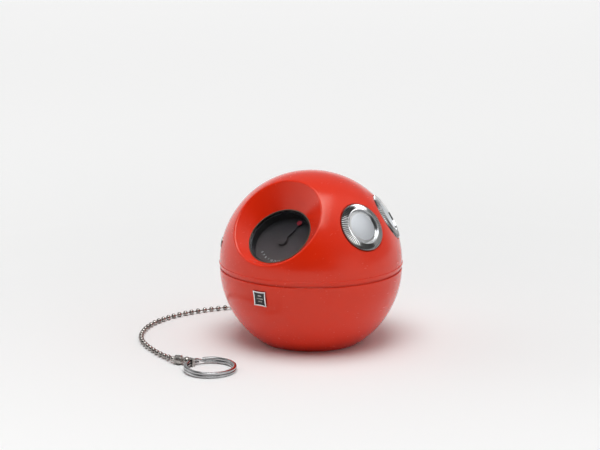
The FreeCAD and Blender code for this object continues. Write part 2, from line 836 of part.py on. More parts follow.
def badge_slab(trim, low, high):
    """Slab of the badge's outline less trim all round, with four slightly hollow sides."""
    w, h = BADGE_W / 2 - trim, BADGE_H / 2 - trim
    corners = [Vector(-w, -h, low), Vector(w, -h, low), Vector(w, h, low), Vector(-w, h, low)]
    edges = []
    for i in range(4):
        a, b = corners[i], corners[(i + 1) % 4]
        middle = (a + b) * (0.5 - BADGE_HOLLOW / 2)
        middle.z = low
        edges.append(Part.Arc(a, middle, b).toShape())
    return Part.Face(Part.Wire(edges)).extrude(Vector(0, 0, high - low))


def badge_frame():
    """Tray with a raised rim, let into the lower half."""
    outer = badge_slab(0.0, BADGE_BACK_AT, BADGE_BACK_AT + BADGE_T)
    inner = badge_slab(BADGE_RIM, BADGE_BACK_AT + 0.5, BADGE_BACK_AT + 2 * BADGE_T)
    return placed(outer.cut(inner), BADGE)


def badge_plate():
    low = BADGE_BACK_AT + 0.51
    return placed(badge_slab(BADGE_RIM + SLIP, low, low + 0.45), BADGE)


def chain_anchor():
    """Stud with a flange and a hanging cup that grips the chain's first ball."""
    exit_point = Vector(*CHAIN_POINTS[0])
    stud = placed(disc(ANCHOR_R, 50.0, BALL_R + 5), ANCHOR)
    flange = placed(disc(3.6, BALL_R, BALL_R + 1), ANCHOR)
    nut = placed(disc(2 * ANCHOR_R, 50.3, 52.1), ANCHOR)
    cup = turned([(0, 0), (2.0, 0), (2.3, 0.6), (2.3, 5.2), (1.5, 6.6), (0, 7.0)])
    cup.translate(exit_point)
    return fused([stud, flange, nut, cup])


# ---------------------------------------------------------------- chain and ring


def chain_end_frame():
    """Placement at the chain's last point with local +Z towards the swivel ball, level."""
    end = Vector(*CHAIN_POINTS[-1])
    way = Vector(math.cos(END_TURN), math.sin(END_TURN), 0)
    return frame_at(end, Z_AXIS, way)


def ball_chain():
    points = [Vector(*p) for p in CHAIN_POINTS]
    radii = largest_radii(points)
    path = rounded_path(points, radii)
    chain = tube(path, CHAIN_R)
    share = chain.Volume / (math.pi * CHAIN_R**2 * path.Length)
    print("chain length", round(path.Length, 1), "volume / (section x length)", round(share, 4))
    return chain


def chain_connector():
    """Hollow bell with a closed end towards the chain and a hole for the swivel's neck."""
    bell = turned(
        [
            (0, 0),
            (1.7, 0),
            (2.5, 0.9),
            (CONNECTOR_R, 2.0),
            (CONNECTOR_R, CONNECTOR_L - 0.8),
            (CONNECTOR_R - 0.5, CONNECTOR_L),
            (NECK_R + 0.07, CONNECTOR_L),
            (NECK_R + 0.07, CONNECTOR_L - 0.7),
            (CONNECTOR_R - 0.7, CONNECTOR_L - 0.9),
            (CONNECTOR_R - 0.7, 2.2),
            (1.6, 1.0),
            (0, 1.0),
        ]
    )
    return placed(bell, chain_end_frame())


def ring_frame():
    """Placement at the split ring's middle, tilted so that the swivel's strap goes under its near side."""
    middle = Vector(RING_CENTRE[0], RING_CENTRE[1], 0)
    ball = swivel_centre()
    away = Vector(middle.x - ball.x, middle.y - ball.y, 0).normalize()
    tilt = RING_LIFT / (2 * RING_OUT_R)
    z_axis = (Z_AXIS + away * tilt).normalize()
    x_axis = (away - Z_AXIS * tilt).normalize()
    base = middle + Vector(0, 0, RING_OUT_R * math.sin(tilt))
    return frame_at(base, x_axis, z_axis)


def swivel_centre():
    return chain_end_frame().multVec(Vector(0, 0, SWIVEL_AT))


def swivel_ball():
    """Ball with a headed neck in the bell and a flat strap round the split ring."""
    frame = chain_end_frame()
    neck = placed(disc(NECK_R, CONNECTOR_L - 2.2, SWIVEL_AT), frame)
    head = placed(disc(1.5, CONNECTOR_L - 2.6, CONNECTOR_L - 1.4), frame)
    ball = Part.makeSphere(SWIVEL_R, swivel_centre())
    middle_r = (RING_OUT_R + RING_IN_R) / 2
    width = RING_OUT_R - RING_IN_R + 2 * STRAP_GAP
    height = RING_H + 2 * STRAP_GAP
    strap = (width + 2 * STRAP_T, STRAP_W, height + 2 * STRAP_T)
    outer = block(strap, (-middle_r, 0, RING_H / 2))
    inner = block((width, 3 * SWIVEL_R, height), (-middle_r, 0, RING_H / 2))
    whole = fused([neck, head, ball, placed(outer, ring_frame())])
    return whole.cut(placed(inner, ring_frame()))


def split_ring():
    """Two closed coils drawn as one ring with a fine groove round its edge."""
    body = spun(
        rounded_profile(
            [
                (RING_IN_R, 0, 0.4),
                (RING_OUT_R, 0, 0.7),
                (RING_OUT_R, RING_H, 0.7),
                (RING_IN_R, RING_H, 0.4),
            ]
        )
    )
    middle = RING_H / 2
    groove = ring(RING_OUT_R + 1, RING_OUT_R - 0.25, middle - 0.1, middle + 0.1)
    return placed(body.cut(groove), ring_frame())


# ---------------------------------------------------------------- electronics


def circuit_board():
    board = disc(BOARD_R, BOARD_TOP_Z - BOARD_T, BOARD_TOP_Z)
    for azimuth in BOSS_AZIMUTHS:
        x, y = boss_place(azimuth)
        board = board.cut(disc(1.4, BOARD_TOP_Z - 5, BOARD_TOP_Z + 5, x, y))
    return board


def boss_place(azimuth):
    angle = math.radians(azimuth - 90)
    return BOSS_REACH * math.cos(angle), BOSS_REACH * math.sin(angle)


def board_screws():
    low = BOARD_TOP_Z - BOARD_T
    screws = []
    for azimuth in BOSS_AZIMUTHS:
        x, y = boss_place(azimuth)
        head = disc(SCREW_HEAD_R, low - SCREW_HEAD_H, low, x, y)
        cross = block((3.2, 0.6, 1.6), (x, y, low - SCREW_HEAD_H))
        shank = disc(SCREW_R, low, low + 8, x, y)
        screws.append(fused([head, shank]).cut(cross))
    return group(screws)


def on_board(shape, x, y, turn=0.0):
    """A component built at the origin, moved to its place on the board's top."""
    moved = shape.copy()
    moved.rotate(Vector(0, 0, 0), Z_AXIS, turn)
    moved.translate(Vector(x, y, BOARD_TOP_Z))
    return moved


def if_transformers():
    places = [(-22, -18), (-11, -24), (1, -19)]
    can = block((7.5, 7.5, 9.5), (0, 0, 4.75)).cut(disc(1.8, 8.5, 11))
    slug = disc(1.6, 8.0, 9.2).cut(block((2.6, 0.5, 0.8), (0, 0, 9.2)))
    return group(on_board(fused([can, slug]), x, y) for x, y in places)


def transistors():
    places = [(13, -27, 0), (21, -17, 40), (-31, -6, 90), (-14, -6, 10), (10, -7, -60), (-29, 24, 30)]
    case = disc(2.4, 1.8, 6.6).cut(block((6, 3, 10), (0, 3.0, 4)))
    legs = [disc(0.25, 0, 2.2, x, 0) for x in (-1.27, 0, 1.27)]
    body = fused([case] + legs)
    return group(on_board(body, x, y, turn) for x, y, turn in places)


def electrolytic_capacitors():
    places = [(32, -18), (36, -4), (-20, 22), (-2, 24), (-36, 18)]
    can_r, can_h, groove_at = 3.1, 10.4, 2.0
    can = turned(
        [
            (0, 0),
            (can_r, 0),
            (can_r, groove_at - 0.4),
            (can_r - 0.25, groove_at),
            (can_r, groove_at + 0.4),
            (can_r, can_h - 0.4),
            (can_r - 0.4, can_h),
            (0, can_h),
        ]
    )
    return group(on_board(can, x, y) for x, y in places)


def resistors():
    places = [(-4, -33, 0), (8, -36, 20), (-18, -32, -10), (24, -28, 60), (-38, -12, 90)]
    places += [(-22, -6, 90), (2, -6, 0), (22, -7, 90), (8, 33, 0), (-12, 33, 0), (34, 18, 90)]
    end_r, waist_r, half, lift, wire = 1.1, 0.9, 3.3, 1.6, 0.5
    ends = [disc(end_r, low, low + 1.3) for low in (-half, half - 1.3)]
    body = fused([disc(waist_r, -half, half)] + ends)
    body.rotate(Vector(0, 0, 0), Vector(0, 1, 0), 90)
    body.translate(Vector(0, 0, lift))
    legs = [block((wire, wire, 1.8), (side * 4.0, 0, 0.9)) for side in (-1, 1)]
    bars = [block((1.2, wire, wire), (side * 3.65, 0, lift)) for side in (-1, 1)]
    whole = fused([body] + legs + bars)
    return group(on_board(whole, x, y, turn) for x, y, turn in places)


def output_transformer():
    """Laminated core with a taped winding."""
    height = 12.4
    core = block((15, 6, height), (0, 0, height / 2))
    winding = block((8.6, 11.5, height - 4), (0, 0, height / 2))
    return on_board(fused([core, winding]), 19, 25)


def along_rod(radius, middle, length):
    """Cylinder on the rod's own line, centred at x = middle."""
    start = Vector(middle - length / 2, ROD_Y, ROD_Z)
    return Part.makeCylinder(radius, length, start, Vector(1, 0, 0))


def ferrite_rod():
    return along_rod(ROD_R, 0, ROD_L)


def antenna_coil():
    """Two windings on a paper sleeve round the rod."""
    bore = along_rod(ROD_R + SLIP, 0, ROD_L)
    windings = ((-12, 18), (8, 6))
    return group(along_rod(ROD_R + COIL_T, middle, length).cut(bore) for middle, length in windings)


def rod_holders():
    height = ROD_Z + ROD_R + 1.5 - BOARD_TOP_Z
    bore = along_rod(ROD_R + SLIP, 0, ROD_L)
    posts = [block((4, 11, height), (x, ROD_Y, BOARD_TOP_Z + height / 2)) for x in (-30, 30)]
    return group(post.cut(bore) for post in posts)


# ---------------------------------------------------------------- battery


def battery():
    """Block battery with a small and a large stud at its +X end."""
    length, width, height = BATTERY
    middle = BATTERY_LOW_Z + height / 2
    body = block((length - TERMINAL_L, width, height), (-TERMINAL_L / 2, 0, middle))
    body = body.makeFillet(2.0, [e for e in body.Edges if abs(e.tangentAt(0).x) > 0.9])
    return fused([body] + terminals(TERMINAL_L - 0.2, 0.0, 0.0))


def terminals(length, back, extra):
    """Two round studs, longer by back behind the battery's end and wider by extra in radius."""
    x = BATTERY[0] / 2 - TERMINAL_L - back
    middle = BATTERY_LOW_Z + BATTERY[2] / 2
    studs = []
    for radius, y in TERMINALS:
        start = Vector(x, y, middle)
        studs.append(Part.makeCylinder(radius + extra, length + back, start, Vector(1, 0, 0)))
    return studs


def battery_snap():
    """Clip that the two studs press into."""
    x = BATTERY[0] / 2 - TERMINAL_L + 0.1 + SNAP[0] / 2
    plate = block(SNAP, (x, 0, BATTERY_LOW_Z + BATTERY[2] / 2))
    return plate.cut(group(terminals(TERMINAL_L - 0.1, SLIP, 0.1)))


def battery_lead(side):
    """Insulated lead from the snap up to the board's underside."""
    x = BATTERY[0] / 2 - TERMINAL_L + 0.1 + SNAP[0]
    z = BATTERY_LOW_Z + BATTERY[2] / 2
    top = BOARD_TOP_Z - BOARD_T
    points = [Vector(x, side * 3, z), Vector(x + 7, side * 3.2, z + 0.5)]
    points += [Vector(x + 9, side * 4.4, z + 6), Vector(x + 8, side * 5.5, top)]
    return tube(rounded_path(points, largest_radii(points)), LEAD_R)


def battery_tray():
    """Moulded clip under the board: a roof, two side walls with hooks and an end stop."""
    length, width, height = BATTERY
    roof_top = BOARD_TOP_Z - BOARD_T
    roof_low = BATTERY_LOW_Z + height + 0.1
    roof = block((length, width + 4, roof_top - roof_low), (-1.0, 0, (roof_top + roof_low) / 2))
    wall_low = BATTERY_LOW_Z - 1.0
    made = [roof]
    for side in (-1, 1):
        y = side * (width / 2 + 1.1)
        for x in (-14, 12):
            made.append(block((12, 1.6, roof_low - wall_low), (x, y, (roof_low + wall_low) / 2)))
            made.append(block((12, 2.6, 0.8), (x, side * (width / 2 + 0.6), wall_low + 0.3)))
    stop_x = -length / 2 - 0.9
    made.append(block((1.4, width, roof_top - wall_low - 3), (stop_x, 0, (roof_top + wall_low + 3) / 2)))
    return fused(made)


# ---------------------------------------------------------------- write


def main():
    os.makedirs("parts", exist_ok=True)
    nodes = {
        "upper_shell": upper_shell(),
        "lower_shell": lower_shell(),
        "dial_ring": dial_ring(),
        "dial_lens": dial_lens(),
        "dial_housing": dial_housing(),
        "dial_plate": dial_plate(),
        "dial_pointer": dial_pointer(),
        "pointer_dot": pointer_dot(),
        "dial_drum": dial_drum(),
        "drum_bearing": drum_bearing(),
        "dial_cord": dial_cord(),
        "cord_guides": cord_guides(),
        "tuning_knob": knob(TUNING),
        "tuning_knob_cap": knob_cap(TUNING),
        "tuning_spindle": spindle(TUNING, 36.0),
        "tuning_pulley": tuning_pulley(),
        "tuning_capacitor": tuning_capacitor(),
        "volume_knob": knob(VOLUME),
        "volume_knob_cap": knob_cap(VOLUME),
        "volume_spindle": spindle(VOLUME, 38.0),
        "volume_control": volume_control(),
        "speaker_basket": speaker_basket(),
        "speaker_cone": speaker_cone(),
        "speaker_magnet": speaker_magnet(),
        "grille_cloth": grille_cloth(),
        "earphone_jack": earphone_jack(),
        "jack_nut": jack_nut(),
        "badge_frame": badge_frame(),
        "badge_plate": badge_plate(),
        "chain_anchor": chain_anchor(),
        "ball_chain": ball_chain(),
        "chain_connector": chain_connector(),
        "swivel_ball": swivel_ball(),
        "split_ring": split_ring(),
        "circuit_board": circuit_board(),
        "board_screws": board_screws(),
        "if_transformers": if_transformers(),
        "transistors": transistors(),
        "electrolytic_capacitors": electrolytic_capacitors(),
        "resistors": resistors(),
        "output_transformer": output_transformer(),
        "ferrite_rod": ferrite_rod(),
        "antenna_coil": antenna_coil(),
        "rod_holders": rod_holders(),
        "battery": battery(),
        "battery_snap": battery_snap(),
        "battery_lead_red": battery_lead(1),
        "battery_lead_black": battery_lead(-1),
        "battery_tray": battery_tray(),
    }
    for name, shape in nodes.items():
        if not shape.isValid():
            raise ValueError(name + " is not a valid shape")
        shape.exportStep(os.path.join("parts", name + ".step"))


main()
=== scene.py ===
"""Looks of a ball-shaped portable radio with a ball chain and a split ring.

Metres, in the CAD model's frame: +Z up, the dial scoop and the badge face -Y, the knobs are on the
+X shoulder. Lengths written with MM are the real piece's millimetres, and so are the plain numbers
of the knobs' outlines, which in_metres() scales. Constant angles are degrees. An aim is a
direction, as (azimuth from the front, elevation).
"""
import math

import bpy
from mathutils import Matrix, Vector


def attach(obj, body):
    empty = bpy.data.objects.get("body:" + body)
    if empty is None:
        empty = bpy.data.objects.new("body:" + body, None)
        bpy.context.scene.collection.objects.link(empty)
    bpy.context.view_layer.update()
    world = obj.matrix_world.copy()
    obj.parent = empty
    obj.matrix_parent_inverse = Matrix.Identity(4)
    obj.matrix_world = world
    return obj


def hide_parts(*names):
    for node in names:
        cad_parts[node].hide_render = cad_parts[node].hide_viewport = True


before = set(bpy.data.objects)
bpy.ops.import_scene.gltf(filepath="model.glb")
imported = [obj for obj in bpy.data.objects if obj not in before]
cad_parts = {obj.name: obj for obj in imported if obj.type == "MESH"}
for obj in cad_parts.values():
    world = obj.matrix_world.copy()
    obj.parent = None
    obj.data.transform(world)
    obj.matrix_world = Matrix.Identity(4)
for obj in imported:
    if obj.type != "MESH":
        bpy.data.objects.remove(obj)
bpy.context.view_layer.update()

MM = 0.001
UP = Vector((0, 0, 1))

# Ball: the centres of its two halves, as in the CAD model
LOWER_CENTRE = Vector((0, 0, 45.0 * MM))
UPPER_CENTRE = Vector((0, 0, 47.57 * MM))

# Dial: the window's place from the upper centre, its lean, the plate behind it, and the reach of
# the painted light that greys that plate towards its foot
DIAL_FORWARD = 34.0 * MM
DIAL_RISE = 21.6 * MM
DIAL_TILT = 47.5
PLATE_DEPTH = 6.4 * MM
DIAL_SHADE_REACH = 12.0 * MM

# Printed figures along the dial's foot, at equal steps of angle in the dial's frame
FIGURE_REACH = 13.7 * MM
FIGURE_SIZE = 1.9 * MM
FIGURE_THICK = 0.02 * MM
FIGURE_SPREAD = 0.05 * MM
FIGURE_PROUD = 0.03 * MM
FIGURE_TEXTS = ("6", "7", "8", "9", "10", "13", "16")
FIGURE_START = -140.0
FIGURE_STEP = 10.5

# Knobs, in millimetres: heights are from the ball's centre along the knob's axis. The ribs drop and
# bite inwards in their grooves, which take up the share of a rib's height below GROOVE_SHARE and
# are drawn dark with grime and painted shade
TUNING_AIM = (73.2, 31.9)
VOLUME_AIM = (118.2, 31.8)
KNOB_RIBS = 72
RIB_STEPS = 8
RIB_DROP = 0.45
RIB_BITE = 0.40
GROOVE_SHARE = 0.6
HUB_R = 5.0
HUB_FOOT = 50.0
KNOB_EDGE_R = 14.5
KNOB_LOW = 52.0
KNOB_EDGE = 53.5
KNOB_CREST = 54.8
KNOB_CREST_R = 10.75
FACE_RADII = (14.0, 13.2, 12.2, 11.3)
WELL_FLOOR = 52.70
WELL_R = 10.2
WELL_ROUND = 0.15
CAP_R = 9.3
CAP_EDGE = 53.75
CAP_CROWN = 1.25
CAP_RISE = 0.12
CAP_BEVEL = 0.45
CAP_STEPS = 14
CAP_SIDES = 144

# Badge: its field's height above the lower centre, and the bars on it as (rise, width)
BADGE_AIM = (0.0, -9.3)
BADGE_FIELD = 54.86 * MM + 0.45 * MM
BADGE_BARS = ((1.7, 2.6), (0.0, 4.4), (-1.7, 2.6))
BAR_HEIGHT = 0.8 * MM
BAR_SINK = 0.1 * MM
BAR_PROUD = 0.2 * MM
BAR_ROUND = 0.3 * MM
BAR_BEVEL = 0.08 * MM

# Ball chain, laid from the anchor to the bell: the CAD route's points in millimetres, with the bend
# at the far left 1.5 mm nearer to the ball, as the photo has it. A bead's lips are (depth, radius)
CHAIN_D = 3.2 * MM
BEAD_PITCH = 4.7 * MM
BEAD_HOLE_R = 0.62 * MM
BEAD_LIPS = ((0.35 * MM, 0.42 * MM), (0.1 * MM, 0.5 * MM))
BEAD_STEPS = 14
BEAD_SIDES = 20
LINK_OUTLINE = ((-0.8 * MM, 0.40 * MM), (0, 0.36 * MM), (0.8 * MM, 0.40 * MM))
LINK_SIDES = 10
CHAIN_POINTS = [
    (-45.6, 38.2, 33.0),
    (-45.9, 38.5, 23.0),
    (-47.6, 38.9, 11.5),
    (-55.5, 38.4, 1.6),
    (-68.0, 33.5, 1.6),
    (-79.0, 22.3, 1.6),
    (-87.6, 9.2, 1.6),
    (-94.0, -5.6, 1.6),
    (-96.6, -20.8, 1.6),
    (-95.4, -36.5, 1.6),
    (-90.0, -51.2, 1.6),
    (-80.8, -64.7, 1.6),
    (-68.3, -74.3, 1.6),
    (-54.8, -81.4, 1.6),
    (-45.5, -85.6, 1.9),
    (-36.2, -89.0, 2.7),
]

# Split ring: two turns of flattened wire, raised by RING_LIFT on the side at the swivel. The wire
# starts at RING_START, steps up within RING_STEP of a turn, and is RING_TIP as high at its ends
RING_CENTRE = Vector((-11.1 * MM, -88.5 * MM, 0))
RING_OUT_R = 15.05 * MM
RING_IN_R = 12.8 * MM
RING_H = 3.28 * MM
RING_GAP = 0.02 * MM
RING_LIFT = 0.8 * MM
RING_FLATNESS = 0.62
RING_START = 158
RING_TURN = 0.985
RING_STEP = 0.035
RING_TIP = 0.55
RING_TAPER = 9
RING_STEPS = 240
RING_SIDES = 20
SWIVEL_AT = 8.2 * MM
END_TURN = 10


# ---------------------------------------------------------------- frames


def frame_at(base, x_axis, z_axis):
    """Matrix whose local +Z is z_axis and whose local +X is x_axis."""
    y_axis = z_axis.cross(x_axis)
    turn = Matrix((x_axis, y_axis, z_axis)).transposed()
    return Matrix.Translation(base) @ turn.to_4x4()


def away_from(aim):
    """Unit vector along aim."""
    azimuth, elevation = math.radians(aim[0]), math.radians(aim[1])
    flat = Vector((math.sin(azimuth), -math.cos(azimuth), 0))
    return flat * math.cos(elevation) + Vector((0, 0, math.sin(elevation)))


def turns(count):
    """Angles of count equal steps round a full turn."""
    return [2 * math.pi * i / count for i in range(count)]


def outward(aim, centre):
    """Frame at centre with local +Z outward along aim and local +X level."""
    azimuth = math.radians(aim[0])
    level = Vector((math.cos(azimuth), math.sin(azimuth), 0))
    return frame_at(centre, level, away_from(aim))


DIAL = frame_at(
    UPPER_CENTRE + Vector((0, -DIAL_FORWARD, DIAL_RISE)),
    Vector((1, 0, 0)),
    away_from((0.0, DIAL_TILT)),
)
TUNING = outward(TUNING_AIM, UPPER_CENTRE)
VOLUME = outward(VOLUME_AIM, UPPER_CENTRE)
BADGE = outward(BADGE_AIM, LOWER_CENTRE)


# ---------------------------------------------------------------- camera, stage and lights

# The camera looks past the ball's centre by a small yaw and pitch
CAMERA_AIM = (32.5, 13.45)
CAMERA_REACH = 0.88
CAMERA_LENS = 87.36
CAMERA_SENSOR = 36.0
CAMERA_YAW = 0.442
CAMERA_PITCH = 1.404
CAMERA_FAR = 50.0

# Sky: a pale backdrop low down that gives way to a darker grey between two heights of the direction
BACKDROP = 0.9
SKY = 0.32
BACKDROP_TOP = (0.05, 0.42)
# Patches of the sky: (aim, full within, none beyond, share taken or strength added)
DIM_PATCHES = (
    ((12.0, 0.0), 34.0, 68.0, 0.93),
    ((-73.0, 74.0), 12.0, 24.0, 0.9),
    ((130.0, 5.0), 15.0, 38.0, 0.55),
)
BRIGHT_PATCHES = (
    ((123.0, 46.0), 12.0, 38.0, 0.5),
    ((-73.0, 27.0), 15.0, 29.0, 0.5),
)

# Floor: its glow is half of FLOOR_GLOW at FLOOR_GLOW_REACH metres from the ball
FLOOR_R = 14.0
FLOOR_SIDES = 96
FLOOR_COLOUR = (0.865, 0.865, 0.865 * 0.997)
FLOOR_GLOW = 0.585
FLOOR_GLOW_REACH = 0.72

# Key light: place from the ball as the camera sees it, size, and radiance
KEY_RIGHT = -0.05
KEY_TOWARD = 0.25
KEY_HEIGHT = 1.2
KEY_SIZE = (0.80, 0.98)
KEY_RADIANCE = 5.1
KEY_SPREADS = (0.64, 0.76, 0.88, 1.0, 1.12, 1.24)
KEY_GAP = 0.005

# Dark card that the chrome mirrors
CARD_SIZE = (0.10, 0.30)
CARD_AIM = (192.0, 3.0)
CARD_REACH = 1.2

WHITE = (1.0, 1.0, 1.0, 1)


def make_camera():
    """Camera at the photographer's place, in front of the ball and to its right."""
    away = away_from(CAMERA_AIM)
    data = bpy.data.cameras.new("camera")
    data.lens = CAMERA_LENS
    data.sensor_width = CAMERA_SENSOR
    data.clip_end = CAMERA_FAR
    camera = bpy.data.objects.new("camera", data)
    bpy.context.scene.collection.objects.link(camera)
    look = Matrix.Rotation(math.radians(CAMERA_YAW), 3, "Z") @ -away
    right = look.cross(UP).normalized()
    look = Matrix.Rotation(math.radians(CAMERA_PITCH), 3, right) @ look
    camera.matrix_world = frame_at(UPPER_CENTRE + away * CAMERA_REACH, right, -look)
    bpy.context.scene.camera = camera


def new_object(name, verts, faces):
    """Linked mesh object."""
    mesh = bpy.data.meshes.new(name)
    mesh.from_pydata(verts, [], faces)
    mesh.update()
    made = bpy.data.objects.new(name, mesh)
    bpy.context.scene.collection.objects.link(made)
    return made


def make_floor():
    """Wide round floor of pale paper that is lit a little more with distance, as a backdrop is."""
    rim = [(FLOOR_R * math.cos(a), FLOOR_R * math.sin(a), 0) for a in turns(FLOOR_SIDES)]
    floor = new_object("floor", rim, [list(range(FLOOR_SIDES))])
    mat = principled("floor_paper", FLOOR_COLOUR, roughness=0.9, specular=0.1)
    bump(mat, noise(mat, 400.0, 3), 0.05, 0.0002)
    tree = mat.node_tree
    place = coordinates(mat)
    square = vector_math(tree, "DOT_PRODUCT", place, place)
    rise = calculated(tree, "DIVIDE", square, calculated(tree, "ADD", square, FLOOR_GLOW_REACH**2))
    into(mat, calculated(tree, "MULTIPLY", rise, FLOOR_GLOW), "Emission Strength")
    shader_of(mat).inputs["Emission Color"].default_value = WHITE
    floor.data.materials.append(mat)


def make_key():
    """Level soft box above the object, made of stacked lights so that it fades at its edges."""
    level = away_from((CAMERA_AIM[0], 0.0))
    side = away_from((CAMERA_AIM[0] + 90.0, 0.0))
    for i, spread in enumerate(KEY_SPREADS):
        name = f"key_box_{i}"
        data = bpy.data.lights.new(name, "AREA")
        data.shape = "RECTANGLE"
        data.size, data.size_y = KEY_SIZE[0] * spread, KEY_SIZE[1] * spread
        data.energy = KEY_RADIANCE / len(KEY_SPREADS) * math.pi * data.size * data.size_y
        lamp = bpy.data.objects.new(name, data)
        bpy.context.scene.collection.objects.link(lamp)
        height = Vector((0, 0, KEY_HEIGHT + KEY_GAP * i))
        lamp.matrix_world = frame_at(side * KEY_RIGHT + level * KEY_TOWARD + height, side, UP)


def make_card():
    """Dark card outside the camera's view, seen only in the bright metal."""
    w, h = CARD_SIZE[0] / 2, CARD_SIZE[1] / 2
    card = new_object("dark_card", [(-w, -h, 0), (w, -h, 0), (w, h, 0), (-w, h, 0)], [(0, 1, 2, 3)])
    card.matrix_world = outward(CARD_AIM, UPPER_CENTRE + away_from(CARD_AIM) * CARD_REACH)
    black = principled("card_black", (0.01, 0.01, 0.01), roughness=0.9, specular=0.1)
    card.data.materials.append(black)
    card.visible_camera = False
    card.visible_diffuse = False
    card.visible_shadow = False


def lobe(tree, way, aim, full, none, amount):
    """Soft round patch of the sky about aim: amount inside full degrees, 0 beyond none degrees."""
    spread = tree.nodes.new("ShaderNodeMapRange")
    spread.interpolation_type = "SMOOTHSTEP"
    spread.inputs["From Min"].default_value = math.cos(math.radians(none))
    spread.inputs["From Max"].default_value = math.cos(math.radians(full))
    spread.inputs["To Max"].default_value = amount
    tree.links.new(vector_math(tree, "DOT_PRODUCT", way, away_from(aim)), spread.inputs["Value"])
    return spread.outputs["Result"]


def make_world():
    """Grey studio with a pale backdrop low down, darker where the photographer stands."""
    world = bpy.data.worlds.new("studio")
    bpy.context.scene.world = world
    world.use_nodes = True
    tree = world.node_tree
    tree.nodes.clear()
    out = tree.nodes.new("ShaderNodeOutputWorld")
    back = tree.nodes.new("ShaderNodeBackground")
    way = tree.nodes.new("ShaderNodeTexCoord").outputs["Generated"]
    split = tree.nodes.new("ShaderNodeSeparateXYZ")
    tree.links.new(way, split.inputs["Vector"])
    band = tree.nodes.new("ShaderNodeMapRange")
    band.interpolation_type = "SMOOTHSTEP"
    band.inputs["From Min"].default_value = BACKDROP_TOP[0]
    band.inputs["From Max"].default_value = BACKDROP_TOP[1]
    band.inputs["To Min"].default_value = BACKDROP
    band.inputs["To Max"].default_value = SKY
    tree.links.new(split.outputs["Z"], band.inputs["Value"])
    level = band.outputs["Result"]
    for aim, full, none, share in DIM_PATCHES:
        patch = lobe(tree, way, aim, full, none, -share)
        level = calculated(tree, "MULTIPLY", level, calculated(tree, "ADD", patch, 1.0))
    for aim, full, none, amount in BRIGHT_PATCHES:
        level = calculated(tree, "ADD", level, lobe(tree, way, aim, full, none, amount))
    tree.links.new(level, back.inputs["Strength"])
    tree.links.new(back.outputs["Background"], out.inputs["Surface"])
    back.inputs["Color"].default_value = WHITE


# ---------------------------------------------------------------- material helpers

# Colour sockets of a Mix node set to RGBA, whose names repeat for every data type
MIX_A, MIX_B, MIX_RESULT = 6, 7, 2


def set_inputs(tree, node, values):
    """Sets a node's first inputs to numbers and vectors, or links them to sockets."""
    for value, socket in zip(values, node.inputs):
        if isinstance(value, bpy.types.NodeSocket):
            tree.links.new(value, socket)
        else:
            socket.default_value = value


def calculated(tree, operation, a, b):
    """Result of a Math node."""
    node = tree.nodes.new("ShaderNodeMath")
    node.operation = operation
    set_inputs(tree, node, (a, b))
    return node.outputs["Value"]


def vector_math(tree, operation, *values):
    """Result of a Vector Math node: a number for a dot product or a length, otherwise a vector."""
    node = tree.nodes.new("ShaderNodeVectorMath")
    node.operation = operation
    set_inputs(tree, node, values)
    return node.outputs["Value" if operation in ("DOT_PRODUCT", "LENGTH") else "Vector"]


def principled(name, colour, roughness=0.5, metallic=0.0, specular=0.5, ior=1.5):
    """Material with one Principled shader."""
    mat = bpy.data.materials.new(name)
    mat.use_nodes = True
    shader = shader_of(mat)
    shader.inputs["Base Color"].default_value = (*colour, 1)
    shader.inputs["Roughness"].default_value = roughness
    shader.inputs["Metallic"].default_value = metallic
    shader.inputs["Specular IOR Level"].default_value = specular
    shader.inputs["IOR"].default_value = ior
    return mat


def shader_of(mat):
    """The material's Principled shader."""
    return mat.node_tree.nodes["Principled BSDF"]


def coordinates(mat, stretch=(1, 1, 1)):
    """Object coordinates, stretched."""
    nodes, links = mat.node_tree.nodes, mat.node_tree.links
    coords = nodes.new("ShaderNodeTexCoord")
    mapping = nodes.new("ShaderNodeMapping")
    mapping.inputs["Scale"].default_value = stretch
    links.new(coords.outputs["Object"], mapping.inputs["Vector"])
    return mapping.outputs["Vector"]


def noise(mat, scale, detail=2, stretch=(1, 1, 1)):
    """Noise from 0 to 1 over the object."""
    node = mat.node_tree.nodes.new("ShaderNodeTexNoise")
    node.inputs["Scale"].default_value = scale
    node.inputs["Detail"].default_value = detail
    mat.node_tree.links.new(coordinates(mat, stretch), node.inputs["Vector"])
    return node.outputs["Fac"]


def wave(mat, scale, direction, distortion=0.0):
    """Parallel bands from 0 to 1, across one direction of the object."""
    node = mat.node_tree.nodes.new("ShaderNodeTexWave")
    node.bands_direction = direction
    node.inputs["Scale"].default_value = scale
    node.inputs["Distortion"].default_value = distortion
    mat.node_tree.links.new(coordinates(mat), node.inputs["Vector"])
    return node.outputs["Fac"]


def stretched(mat, value, low, high, out_low, out_high):
    """Value mapped from low..high to out_low..out_high."""
    node = mat.node_tree.nodes.new("ShaderNodeMapRange")
    node.inputs["From Min"].default_value = low
    node.inputs["From Max"].default_value = high
    node.inputs["To Min"].default_value = out_low
    node.inputs["To Max"].default_value = out_high
    mat.node_tree.links.new(value, node.inputs["Value"])
    return node.outputs["Result"]


def blended(mat, factor, colour_a, colour_b):
    """Colour between two others."""
    node = mat.node_tree.nodes.new("ShaderNodeMix")
    node.data_type = "RGBA"
    mat.node_tree.links.new(factor, node.inputs["Factor"])
    node.inputs[MIX_A].default_value = (*colour_a, 1)
    node.inputs[MIX_B].default_value = (*colour_b, 1)
    return node.outputs[MIX_RESULT]


def into(mat, value, socket):
    """Links a value to one of the shader's inputs."""
    mat.node_tree.links.new(value, shader_of(mat).inputs[socket])


def bump(mat, height, strength, distance):
    """Relief that only the shading shows."""
    node = mat.node_tree.nodes.new("ShaderNodeBump")
    node.inputs["Strength"].default_value = strength
    node.inputs["Distance"].default_value = distance
    mat.node_tree.links.new(height, node.inputs["Height"])
    into(mat, node.outputs["Normal"], "Normal")


